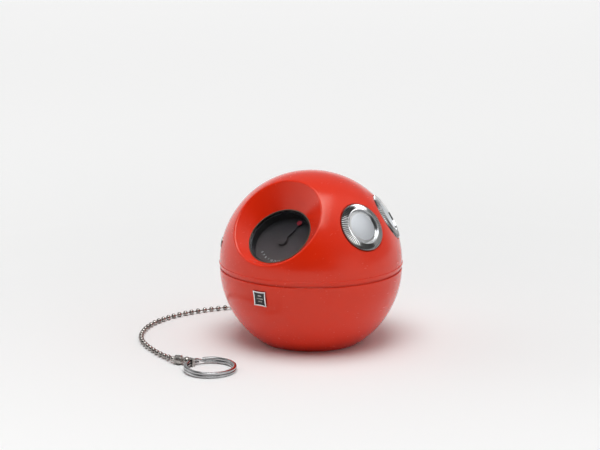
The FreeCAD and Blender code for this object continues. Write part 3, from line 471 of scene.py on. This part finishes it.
def shaded_variation(mat, colour_a, colour_b, scale, detail=3):
    """Base colour that drifts between two shades."""
    drift = stretched(mat, noise(mat, scale, detail), 0.35, 0.65, 0.0, 1.0)
    into(mat, blended(mat, drift, colour_a, colour_b), "Base Color")


def rough_variation(mat, low, high, scale):
    """Roughness that drifts between two levels."""
    into(mat, stretched(mat, noise(mat, scale, 3), 0.3, 0.7, low, high), "Roughness")


# ---------------------------------------------------------------- materials

BATTERY_BAND = 10.0 * MM


def red_plastic():
    """Glossy moulded polystyrene with faint flow marks and fine scuffs."""
    mat = principled("red_plastic", (0.75, 0.024, 0.004), roughness=0.2)
    shader_of(mat).inputs["Specular Tint"].default_value = (1.0, 0.92, 0.80, 1)
    shaded_variation(mat, (0.74, 0.023, 0.0035), (0.78, 0.027, 0.005), 18.0)
    smear = noise(mat, 60.0, 4)
    scuffs = noise(mat, 900.0, 2, (1, 0.12, 1))
    scuffs = stretched(mat, scuffs, 0.62, 0.72, 0.0, 0.10)
    smear = stretched(mat, smear, 0.3, 0.7, 0.15, 0.22)
    into(mat, calculated(mat.node_tree, "ADD", smear, scuffs), "Roughness")
    bump(mat, noise(mat, 130.0, 2), 0.03, 0.0004)
    return mat


def smoked_window():
    """Clear grey window. Its IOR is low, so that its reflections don't hide the dial."""
    mat = principled("smoked_window", (0.72, 0.73, 0.76), roughness=0.06, ior=1.16)
    shader_of(mat).inputs["Transmission Weight"].default_value = 1.0
    rough_variation(mat, 0.04, 0.10, 120.0)
    return mat


def dial_black():
    """Black print, with painted light: it turns grey towards the foot of the dial, where more light
    falls on the plate.
    """
    mat = principled("dial_black", (0.024, 0.022, 0.022), roughness=0.5)
    upward = DIAL.col[1].xyz
    middle = DIAL.translation.dot(upward)
    rise = vector_math(mat.node_tree, "DOT_PRODUCT", coordinates(mat), upward)
    # Painted light: 0 at the top of the plate, 1 at its foot, where the plate is drawn lighter grey
    # as if lit
    painted_light = stretched(mat, rise, middle + DIAL_SHADE_REACH, middle - DIAL_SHADE_REACH, 0.0, 1.0)
    into(mat, blended(mat, painted_light, (0.024, 0.022, 0.024), (0.190, 0.160, 0.152)), "Base Color")
    bump(mat, noise(mat, 1500.0, 2), 0.1, 0.0001)
    return mat


def black_moulding():
    mat = principled("black_moulding", (0.015, 0.015, 0.016), roughness=0.4)
    shaded_variation(mat, (0.013, 0.013, 0.014), (0.026, 0.026, 0.027), 70.0)
    rough_variation(mat, 0.32, 0.5, 220.0)
    bump(mat, noise(mat, 1200.0, 2), 0.12, 0.0001)
    return mat


def signal_enamel():
    mat = principled("signal_enamel", (0.55, 0.012, 0.03), roughness=0.35)
    shaded_variation(mat, (0.50, 0.010, 0.03), (0.62, 0.016, 0.04), 900.0)
    return mat


def bright_chrome():
    """Plated metal with a faint haze."""
    mat = principled("bright_chrome", (0.74, 0.75, 0.76), roughness=0.12, metallic=1.0)
    shaded_variation(mat, (0.69, 0.70, 0.71), (0.80, 0.805, 0.81), 220.0)
    rough_variation(mat, 0.06, 0.16, 350.0)
    return mat


def rib_chrome():
    """Plating on the ribs, worn a little duller than the smooth rims."""
    mat = principled("rib_chrome", (0.76, 0.765, 0.77), roughness=0.16, metallic=1.0)
    shaded_variation(mat, (0.71, 0.715, 0.72), (0.81, 0.815, 0.82), 260.0)
    rough_variation(mat, 0.11, 0.21, 350.0)
    return mat


def groove_grime_and_shade():
    """The same plating drawn dark and dull in the grooves between two ribs: partly grime, partly
    painted shade of the grooves.
    """
    mat = principled("groove_grime_and_shade", (0.04, 0.04, 0.04), roughness=0.5)
    shaded_variation(mat, (0.028, 0.028, 0.028), (0.055, 0.054, 0.053), 300.0)
    return mat


def spun_disc(name, centre, away):
    """Satin aluminium, spun: fine rings about the knob's own axis."""
    mat = principled(name, (0.80, 0.83, 0.87), roughness=0.34, metallic=1.0)
    tree = mat.node_tree
    place = tree.nodes.new("ShaderNodeTexCoord").outputs["Object"]
    shift = vector_math(tree, "SUBTRACT", place, centre)
    reach = vector_math(tree, "LENGTH", vector_math(tree, "CROSS_PRODUCT", shift, away))
    rings = tree.nodes.new("ShaderNodeTexNoise")
    rings.noise_dimensions = "1D"
    rings.inputs["Scale"].default_value = 9000.0
    rings.inputs["Detail"].default_value = 2.0
    tree.links.new(reach, rings.inputs["W"])
    marks = rings.outputs["Fac"]
    into(mat, stretched(mat, marks, 0.3, 0.7, 0.28, 0.42), "Roughness")
    into(mat, blended(mat, marks, (0.74, 0.775, 0.815), (0.86, 0.89, 0.93)), "Base Color")
    bump(mat, marks, 0.12, 0.00003)
    return mat


def bezel_metal():
    mat = principled("bezel_metal", (0.16, 0.13, 0.10), roughness=0.4, metallic=0.8)
    rough_variation(mat, 0.28, 0.45, 500.0)
    return mat


def badge_enamel():
    mat = principled("badge_enamel", (0.008, 0.008, 0.010), roughness=0.2)
    rough_variation(mat, 0.15, 0.3, 500.0)
    return mat


def nickel_plate():
    """Nickel that has dulled to a warm grey."""
    mat = principled("nickel_plate", (0.37, 0.345, 0.33), roughness=0.25, metallic=1.0)
    shaded_variation(mat, (0.26, 0.235, 0.22), (0.48, 0.455, 0.43), 260.0)
    rough_variation(mat, 0.16, 0.34, 500.0)
    bump(mat, noise(mat, 2200.0, 2), 0.08, 0.00005)
    return mat


def spring_steel():
    """Polished steel with lengthwise drawing marks."""
    mat = principled("spring_steel", (0.46, 0.46, 0.465), roughness=0.14, metallic=1.0)
    shaded_variation(mat, (0.39, 0.39, 0.395), (0.54, 0.54, 0.545), 180.0)
    rough_variation(mat, 0.09, 0.2, 420.0)
    bump(mat, noise(mat, 1500.0, 2, (1, 1, 6)), 0.05, 0.00005)
    return mat


def dull_steel():
    mat = principled("dull_steel", (0.42, 0.42, 0.43), roughness=0.35, metallic=1.0)
    shaded_variation(mat, (0.34, 0.34, 0.35), (0.52, 0.52, 0.53), 150.0)
    rough_variation(mat, 0.28, 0.48, 300.0)
    bump(mat, noise(mat, 900.0, 2, (1, 1, 5)), 0.08, 0.0001)
    return mat


def turned_brass():
    mat = principled("turned_brass", (0.62, 0.44, 0.18), roughness=0.3, metallic=1.0)
    shaded_variation(mat, (0.52, 0.36, 0.14), (0.70, 0.52, 0.24), 180.0)
    rough_variation(mat, 0.22, 0.4, 420.0)
    return mat


def white_moulding():
    mat = principled("white_moulding", (0.72, 0.70, 0.62), roughness=0.45)
    shaded_variation(mat, (0.70, 0.68, 0.60), (0.78, 0.76, 0.69), 60.0)
    bump(mat, noise(mat, 900.0, 2), 0.08, 0.0001)
    return mat


def twisted_cord():
    mat = principled("twisted_cord", (0.60, 0.56, 0.44), roughness=0.9)
    twist = wave(mat, 900.0, "DIAGONAL", distortion=2.0)
    into(mat, blended(mat, twist, (0.42, 0.38, 0.28), (0.70, 0.66, 0.54)), "Base Color")
    bump(mat, twist, 0.6, 0.0001)
    return mat


def speaker_paper():
    mat = principled("speaker_paper", (0.05, 0.045, 0.04), roughness=0.95)
    shaded_variation(mat, (0.035, 0.032, 0.03), (0.075, 0.068, 0.06), 700.0, 6)
    bump(mat, noise(mat, 1800.0, 5), 0.4, 0.0001)
    return mat


def woven_cloth():
    """Black grille cloth: two crossed sets of threads."""
    mat = principled("woven_cloth", (0.03, 0.03, 0.03), roughness=0.9)
    weft = wave(mat, 420.0, "Z")
    warp = wave(mat, 420.0, "X")
    weave = calculated(mat.node_tree, "MULTIPLY", weft, warp)
    into(mat, blended(mat, weave, (0.012, 0.012, 0.012), (0.07, 0.068, 0.065)), "Base Color")
    bump(mat, weave, 0.6, 0.0002)
    return mat


def phenolic_board():
    mat = principled("phenolic_board", (0.26, 0.13, 0.05), roughness=0.45)
    shaded_variation(mat, (0.22, 0.105, 0.04), (0.31, 0.16, 0.065), 50.0, 5)
    bump(mat, noise(mat, 700.0, 3, (1, 4, 1)), 0.1, 0.0001)
    return mat


def tinned_can():
    mat = principled("tinned_sheet", (0.66, 0.66, 0.64), roughness=0.3, metallic=1.0)
    shaded_variation(mat, (0.58, 0.58, 0.56), (0.72, 0.72, 0.70), 200.0)
    rough_variation(mat, 0.2, 0.42, 300.0)
    return mat


def epoxy_black():
    mat = principled("epoxy_black", (0.02, 0.02, 0.02), roughness=0.55)
    shaded_variation(mat, (0.016, 0.016, 0.017), (0.03, 0.03, 0.03), 500.0)
    return mat


def sleeve_blue():
    mat = principled("sleeve_blue", (0.03, 0.07, 0.22), roughness=0.3)
    shaded_variation(mat, (0.025, 0.06, 0.20), (0.04, 0.09, 0.26), 120.0)
    return mat


def resistor_lacquer():
    """Tan lacquer, mottled; its colour bands are left out."""
    mat = principled("resistor_lacquer", (0.48, 0.33, 0.18), roughness=0.4)
    shaded_variation(mat, (0.42, 0.28, 0.15), (0.56, 0.40, 0.23), 500.0)
    return mat


def laminated_iron():
    mat = principled("laminated_iron", (0.16, 0.15, 0.14), roughness=0.5, metallic=0.7)
    sheets = wave(mat, 900.0, "Z")
    into(mat, blended(mat, sheets, (0.08, 0.075, 0.07), (0.24, 0.23, 0.21)), "Base Color")
    bump(mat, sheets, 0.3, 0.0001)
    return mat


def grey_ferrite():
    mat = principled("grey_ferrite", (0.06, 0.06, 0.065), roughness=0.6)
    shaded_variation(mat, (0.045, 0.045, 0.05), (0.085, 0.085, 0.09), 400.0, 5)
    bump(mat, noise(mat, 1500.0, 3), 0.2, 0.0001)
    return mat


def wound_copper():
    """Close turns of enamelled wire across the rod."""
    mat = principled("wound_copper", (0.50, 0.20, 0.08), roughness=0.35, metallic=0.7)
    turns_of_wire = wave(mat, 700.0, "X")
    into(mat, blended(mat, turns_of_wire, (0.26, 0.09, 0.03), (0.62, 0.28, 0.12)), "Base Color")
    bump(mat, turns_of_wire, 0.7, 0.0002)
    return mat


def battery_jacket():
    """Printed tin jacket: dark body with a copper-coloured end past BATTERY_BAND."""
    mat = principled("battery_jacket", (0.04, 0.045, 0.06), roughness=0.3, metallic=0.3)
    tree = mat.node_tree
    split = tree.nodes.new("ShaderNodeSeparateXYZ")
    tree.links.new(coordinates(mat), split.inputs["Vector"])
    end = calculated(tree, "GREATER_THAN", split.outputs["X"], BATTERY_BAND)
    into(mat, blended(mat, end, (0.03, 0.034, 0.045), (0.45, 0.26, 0.12)), "Base Color")
    rough_variation(mat, 0.24, 0.4, 250.0)
    return mat


def lead_insulation(name, colour):
    """Soft wire insulation."""
    mat = principled(name, colour, roughness=0.4)
    darker = tuple(c * 0.8 for c in colour)
    shaded_variation(mat, darker, colour, 400.0)
    return mat


def figure_ink():
    mat = principled("figure_ink", (0.88, 0.88, 0.86), roughness=0.6)
    shaded_variation(mat, (0.82, 0.82, 0.80), (0.92, 0.92, 0.90), 1500.0)
    return mat


def dress_nodes():
    """A procedural material for every CAD node."""
    red = red_plastic()
    dial = dial_black()
    black = black_moulding()
    chrome = bright_chrome()
    nickel = nickel_plate()
    steel = dull_steel()
    brass = turned_brass()
    white = white_moulding()
    looks = {
        "upper_shell": red,
        "lower_shell": red,
        "dial_ring": bezel_metal(),
        "dial_lens": smoked_window(),
        "dial_housing": black,
        "dial_plate": dial,
        "dial_pointer": dial,
        "pointer_dot": signal_enamel(),
        "dial_drum": white,
        "drum_bearing": steel,
        "dial_cord": twisted_cord(),
        "cord_guides": steel,
        "tuning_knob": chrome,
        "tuning_knob_cap": chrome,
        "tuning_spindle": brass,
        "tuning_pulley": white,
        "tuning_capacitor": white,
        "volume_knob": chrome,
        "volume_knob_cap": chrome,
        "volume_spindle": brass,
        "volume_control": steel,
        "speaker_basket": steel,
        "speaker_cone": speaker_paper(),
        "speaker_magnet": steel,
        "grille_cloth": woven_cloth(),
        "earphone_jack": nickel,
        "jack_nut": brass,
        "badge_frame": chrome,
        "badge_plate": badge_enamel(),
        "chain_anchor": nickel,
        "ball_chain": nickel,
        "chain_connector": nickel,
        "swivel_ball": nickel,
        "split_ring": spring_steel(),
        "circuit_board": phenolic_board(),
        "board_screws": steel,
        "if_transformers": tinned_can(),
        "transistors": epoxy_black(),
        "electrolytic_capacitors": sleeve_blue(),
        "resistors": resistor_lacquer(),
        "output_transformer": laminated_iron(),
        "ferrite_rod": grey_ferrite(),
        "antenna_coil": wound_copper(),
        "rod_holders": black,
        "battery": battery_jacket(),
        "battery_snap": black,
        "battery_lead_red": lead_insulation("lead_red_pvc", (0.45, 0.02, 0.015)),
        "battery_lead_black": lead_insulation("lead_black_pvc", (0.02, 0.02, 0.02)),
        "battery_tray": black,
    }
    for name, mat in looks.items():
        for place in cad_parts[name].material_slots:
            place.material = mat
    return looks


# ---------------------------------------------------------------- mesh helpers


def smooth(made, angle):
    """Smooth shading with sharp edges above an angle in degrees."""
    made.data.shade_smooth()
    made.data.set_sharp_from_angle(angle=math.radians(angle))


def lathe(name, place, profile, count, mats):
    """Closed solid of revolution in a local frame.

    profile(angle) gives (radius, height, material index) points from the axis at the bottom to the
    axis at the top; the index is that of the band above the point.
    """
    verts, faces, bands = [], [], []
    angles = turns(count)
    rings = [profile(a) for a in angles]
    for angle, points in zip(angles, rings):
        for radius, height, band in points[1:-1]:
            verts.append((radius * math.cos(angle), radius * math.sin(angle), height))
    low, high = len(verts), len(verts) + 1
    verts.append((0, 0, rings[0][0][1]))
    verts.append((0, 0, rings[0][-1][1]))
    inner = len(rings[0]) - 2
    for i, points in enumerate(rings):
        a, b = i * inner, ((i + 1) % count) * inner
        faces.append((low, b, a))
        for j in range(inner - 1):
            faces.append((a + j, b + j, b + j + 1, a + j + 1))
        faces.append((a + inner - 1, b + inner - 1, high))
        bands += [point[2] for point in points[:-1]]
    made = new_object(name, verts, faces)
    made.data.transform(place)
    for mat in mats:
        made.data.materials.append(mat)
    for face, band in zip(made.data.polygons, bands):
        face.material_index = band
    smooth(made, 32)
    return made


# ---------------------------------------------------------------- knobs


def rib_height(angle):
    """1 on a rib's crest and 0 in the groove between two ribs."""
    share = (angle * KNOB_RIBS / (2 * math.pi)) % 1.0
    return 1 - abs(2 * share - 1)


def in_metres(outline):
    """Scales an outline in millimetres for lathe()."""
    return [(radius * MM, height * MM, band) for radius, height, band in outline]


def knob_profile(angle):
    """Hub, toothed skirt, ribbed face up to a crest and a steep wall down to the disc's well.

    The small plain numbers round its edges.
    """
    rib = rib_height(angle)
    # Grooves take the dark material of grime and painted shade, crests the rib plating
    band = 1 if rib < GROOVE_SHARE else 2
    drop = RIB_DROP * (1 - rib)
    edge = KNOB_EDGE_R - RIB_BITE * (1 - rib)
    slope = (KNOB_CREST - KNOB_EDGE - RIB_DROP) / (KNOB_EDGE_R - RIB_BITE - KNOB_CREST_R)
    outline = [
        (0, HUB_FOOT, 0),
        (HUB_R, HUB_FOOT, 0),
        (HUB_R, KNOB_LOW, 0),
        (edge - 0.2, KNOB_LOW, 0),
        (edge, KNOB_LOW + 0.2, band),
        (edge, KNOB_EDGE - 0.1, band),
        (edge - 0.15, KNOB_EDGE + 0.2 - drop, band),
    ]
    for radius in FACE_RADII:
        outline.append((radius, KNOB_CREST - slope * (radius - KNOB_CREST_R) - drop, band))
    outline += [
        (KNOB_CREST_R + 0.12, KNOB_CREST - 0.04 - drop * 0.7, 0),
        (KNOB_CREST_R - 0.1, KNOB_CREST - drop * 0.3, 0),
        (KNOB_CREST_R - 0.3, KNOB_CREST - 0.12, 0),
        (KNOB_CREST_R - 0.36, KNOB_CREST - 0.4, 0),
        (WELL_R, WELL_FLOOR + WELL_ROUND, 0),
        (WELL_R - WELL_ROUND, WELL_FLOOR, 0),
        (0, WELL_FLOOR, 0),
    ]
    return in_metres(outline)


def cap_profile(_angle):
    """Domed satin disc with a polished bevel, the same at every angle, rounded by small numbers."""
    low = WELL_FLOOR + 0.05
    outline = [
        (0, low, 0),
        (CAP_R - 0.1, low, 0),
        (CAP_R, low + 0.1, 0),
        (CAP_R, CAP_EDGE - 0.1, 0),
        (CAP_R - 0.1, CAP_EDGE + 0.03, 0),
        (CAP_R - 0.4, CAP_EDGE + 0.11, 0),
    ]
    for i in range(CAP_STEPS):
        share = 1 - (i + 1) / (CAP_STEPS + 1)
        height = CAP_EDGE + CAP_RISE + (CAP_CROWN - CAP_RISE) * (1 - share * share)
        outline.append(((CAP_R - CAP_BEVEL) * share, height, 1))
    outline.append((0, CAP_EDGE + CAP_CROWN, 1))
    return in_metres(outline)


def make_knobs(chrome):
    """Both knobs and their satin discs, which turn with the controls."""
    # The middle finish is the grooves' grime and painted shade
    plating = [chrome, groove_grime_and_shade(), rib_chrome()]
    for name, place, aim, body in (
        ("tuning", TUNING, TUNING_AIM, "tuning_control"),
        ("volume", VOLUME, VOLUME_AIM, "volume_switch"),
    ):
        knob = lathe(name + "_knob_ribbed", place, knob_profile, KNOB_RIBS * RIB_STEPS, plating)
        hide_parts(name + "_knob")
        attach(knob, body)
        satin = spun_disc(name + "_disc_satin", UPPER_CENTRE, away_from(aim))
        cap = lathe(name + "_knob_disc", place, cap_profile, CAP_SIDES, [chrome, satin])
        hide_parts(name + "_knob_cap")
        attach(cap, body)


# ---------------------------------------------------------------- dial figures and badge emblem


def make_figure(text, angle, ink):
    """Printed figure on the dial plate, its foot towards the dial's edge."""
    curve = bpy.data.curves.new("figure_" + text, "FONT")
    curve.body = text
    curve.size = FIGURE_SIZE
    curve.align_x = "CENTER"
    curve.align_y = "CENTER"
    curve.extrude = FIGURE_THICK
    curve.offset = FIGURE_SPREAD
    source = bpy.data.objects.new("figure_source", curve)
    mesh = bpy.data.meshes.new_from_object(source)
    bpy.data.objects.remove(source)
    around = math.radians(angle)
    x, y = FIGURE_REACH * math.cos(around), FIGURE_REACH * math.sin(around)
    place = Matrix.Translation((x, y, FIGURE_PROUD - PLATE_DEPTH))
    turn = Matrix.Rotation(around + math.pi / 2, 4, "Z")
    mesh.transform(DIAL @ place @ turn)
    mesh.materials.clear()
    mesh.materials.append(ink)
    made = bpy.data.objects.new("dial_figure_" + text, mesh)
    bpy.context.scene.collection.objects.link(made)
    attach(made, "upper_half")


def make_figures():
    """The row of frequency figures along the dial's foot."""
    ink = figure_ink()
    for i, text in enumerate(FIGURE_TEXTS):
        make_figure(text, FIGURE_START + FIGURE_STEP * i, ink)


def rounded_bar(name, place, width, height, low, high, round_r, mat):
    """Bar with rounded ends and a small bevel, in a local frame."""
    corners = []
    for quarter in range(4):
        cx = (width / 2 - round_r) * (1 if quarter in (0, 3) else -1)
        cy = (height / 2 - round_r) * (1 if quarter in (0, 1) else -1)
        for i in range(6):
            a = math.pi / 2 * (quarter + i / 5)
            corners.append((cx + round_r * math.cos(a), cy + round_r * math.sin(a)))
    count = len(corners)
    shrink_x, shrink_y = 1 - 2 * BAR_BEVEL / width, 1 - 2 * BAR_BEVEL / height
    verts = [(x, y, low) for x, y in corners]
    verts += [(x, y, high - BAR_BEVEL) for x, y in corners]
    verts += [(x * shrink_x, y * shrink_y, high) for x, y in corners]
    faces = [tuple(reversed(range(count))), tuple(range(2 * count, 3 * count))]
    for layer in (0, count):
        for i in range(count):
            j = (i + 1) % count
            faces.append((layer + i, layer + j, layer + count + j, layer + count + i))
    made = new_object(name, verts, faces)
    made.data.transform(place)
    made.data.materials.append(mat)
    smooth(made, 35)
    return made


def make_emblem(nickel):
    """Plain emblem on the badge: three raised level bars."""
    low, high = BADGE_FIELD - BAR_SINK, BADGE_FIELD + BAR_PROUD
    for i, (rise, width) in enumerate(BADGE_BARS):
        place = BADGE @ Matrix.Translation((0, rise * MM, 0))
        name = f"badge_bar_{i + 1}"
        bar = rounded_bar(name, place, width * MM, BAR_HEIGHT, low, high, BAR_ROUND, nickel)
        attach(bar, "lower_half")


# ---------------------------------------------------------------- ball chain


def chain_route():
    """Points along the chain's middle, read from its NURBS route."""
    curve = bpy.data.curves.new("chain_route", "CURVE")
    curve.dimensions = "3D"
    curve.resolution_u = 24
    spline = curve.splines.new("NURBS")
    spline.points.add(len(CHAIN_POINTS) - 1)
    for point, (x, y, z) in zip(spline.points, CHAIN_POINTS):
        point.co = (x * MM, y * MM, z * MM, 1)
    spline.order_u = 3
    spline.use_endpoint_u = True
    source = bpy.data.objects.new("chain_route_source", curve)
    mesh = bpy.data.meshes.new_from_object(source)
    points = [v.co.copy() for v in mesh.vertices]
    bpy.data.objects.remove(source)
    return points


def spot_at(points, reach):
    """Point and direction at a distance along the points, and straight on past the last one."""
    for a, b in zip(points, points[1:]):
        step = (b - a).length
        if step >= reach:
            return a + (b - a) * (reach / step), (b - a).normalized()
        reach -= step
    way = (points[-1] - points[-2]).normalized()
    return points[-1] + way * reach, way


def bead_outline():
    """Half outline of a hollow ball with a rolled hole at each end, as (along, radius)."""
    ball_r = CHAIN_D / 2
    opening = math.asin(BEAD_HOLE_R / ball_r)
    mouth = -ball_r * math.cos(opening)
    lips = [(mouth + inside, radius) for inside, radius in BEAD_LIPS]
    outline = list(lips)
    for i in range(BEAD_STEPS + 1):
        a = math.pi - opening - (math.pi - 2 * opening) * i / BEAD_STEPS
        outline.append((ball_r * math.cos(a), ball_r * math.sin(a)))
    return outline + [(-along, radius) for along, radius in reversed(lips)]


def revolve_into(verts, faces, outline, base, way, count):
    """Adds a solid of revolution about way, closed by a flat face at both ends."""
    side = way.orthogonal().normalized()
    other = way.cross(side)
    start = len(verts)
    for along, radius in outline:
        middle = base + way * along
        for a in turns(count):
            verts.append(middle + side * (radius * math.cos(a)) + other * (radius * math.sin(a)))
    last = len(outline) - 1
    for i in range(last):
        for j in range(count):
            k = (j + 1) % count
            a, b = start + i * count, start + (i + 1) * count
            faces.append((a + j, a + k, b + k, b + j))
    faces.append(tuple(start + j for j in reversed(range(count))))
    faces.append(tuple(start + last * count + j for j in range(count)))


def make_chain(nickel):
    """Balls along the whole route, with a bar between each two; returns the chain and its route."""
    points = chain_route()
    length = sum((b - a).length for a, b in zip(points, points[1:]))
    beads = int((length - CHAIN_D / 2) / BEAD_PITCH) + 1
    pitch = (length - CHAIN_D) / (beads - 1)
    spots = [spot_at(points, CHAIN_D / 2 + i * pitch) for i in range(beads)]
    verts, faces = [], []
    outline = bead_outline()
    for i, (base, way) in enumerate(spots):
        revolve_into(verts, faces, outline, base, way, BEAD_SIDES)
        if i + 1 < beads:
            after = spots[i + 1][0]
            middle, along = (base + after) / 2, (after - base).normalized()
            revolve_into(verts, faces, LINK_OUTLINE, middle, along, LINK_SIDES)
    chain = new_object("ball_chain_beads", verts, faces)
    chain.data.materials.append(nickel)
    smooth(chain, 50)
    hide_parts("ball_chain")
    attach(chain, "lower_half")
    return chain, points


# ---------------------------------------------------------------- split ring


def ring_frame():
    """Frame of the split ring, tilted because the swivel's strap lies under its near side."""
    end = Vector(CHAIN_POINTS[-1]) * MM
    turn = math.radians(END_TURN)
    ball = end + Vector((math.cos(turn), math.sin(turn), 0)) * SWIVEL_AT
    away = Vector((RING_CENTRE.x - ball.x, RING_CENTRE.y - ball.y, 0)).normalized()
    tilt = RING_LIFT / (2 * RING_OUT_R)
    z_axis = (UP + away * tilt).normalized()
    x_axis = (away - UP * tilt).normalized()
    return frame_at(RING_CENTRE + UP * (RING_OUT_R * math.sin(tilt)), x_axis, z_axis)


def ring_section():
    """Flattened wire with rounded corners, as (radius, height) from its own middle."""
    half_w = (RING_OUT_R - RING_IN_R) / 2
    half_h = RING_H / 4 - RING_GAP
    points = []
    for a in turns(RING_SIDES):
        c, s = math.cos(a), math.sin(a)
        across = math.copysign(abs(c) ** RING_FLATNESS, c)
        up = math.copysign(abs(s) ** RING_FLATNESS, s)
        points.append((half_w * across, half_h * up))
    return points


def coil_rise(turn):
    """Height of the wire's middle: the lower turn, the step up to the upper one, and that turn."""
    low, high = RING_H / 4, RING_H * 3 / 4
    if abs(turn - 1) <= RING_STEP:
        t = (turn - 1 + RING_STEP) / (2 * RING_STEP)
        return low + (high - low) * t * t * (3 - 2 * t)
    return low if turn < 1 else high


def make_split_ring(steel):
    """Two turns of wire that lie on each other, with a step where each end begins."""
    middle_r = (RING_OUT_R + RING_IN_R) / 2
    section = ring_section()
    verts, faces = [], []
    for i in range(RING_STEPS + 1):
        share = i / RING_STEPS
        turn = share * 2
        rise = coil_rise(turn)
        angle = math.radians(RING_START) + 2 * math.pi * turn * RING_TURN
        taper = min(1.0, RING_TIP + RING_TAPER * min(share, 1 - share) * 2)
        for dr, dz in section:
            r = middle_r + dr
            verts.append((r * math.cos(angle), r * math.sin(angle), rise + dz * taper))
    n = len(section)
    for i in range(RING_STEPS):
        for j in range(n):
            k = (j + 1) % n
            faces.append((i * n + j, i * n + k, (i + 1) * n + k, (i + 1) * n + j))
    faces.append(tuple(reversed(range(n))))
    faces.append(tuple(RING_STEPS * n + j for j in range(n)))
    ring = new_object("split_ring_coils", verts, faces)
    ring.data.transform(ring_frame())
    ring.data.materials.append(steel)
    smooth(ring, 40)
    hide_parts("split_ring")
    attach(ring, "key_ring")
    return ring


# ---------------------------------------------------------------- build

bpy.context.scene.view_settings.view_transform = "Standard"
make_camera()
make_world()
make_floor()
make_key()
make_card()
looks = dress_nodes()
make_knobs(looks["tuning_knob"])
make_figures()
make_emblem(looks["earphone_jack"])
chain, route = make_chain(looks["ball_chain"])
ring = make_split_ring(looks["split_ring"])
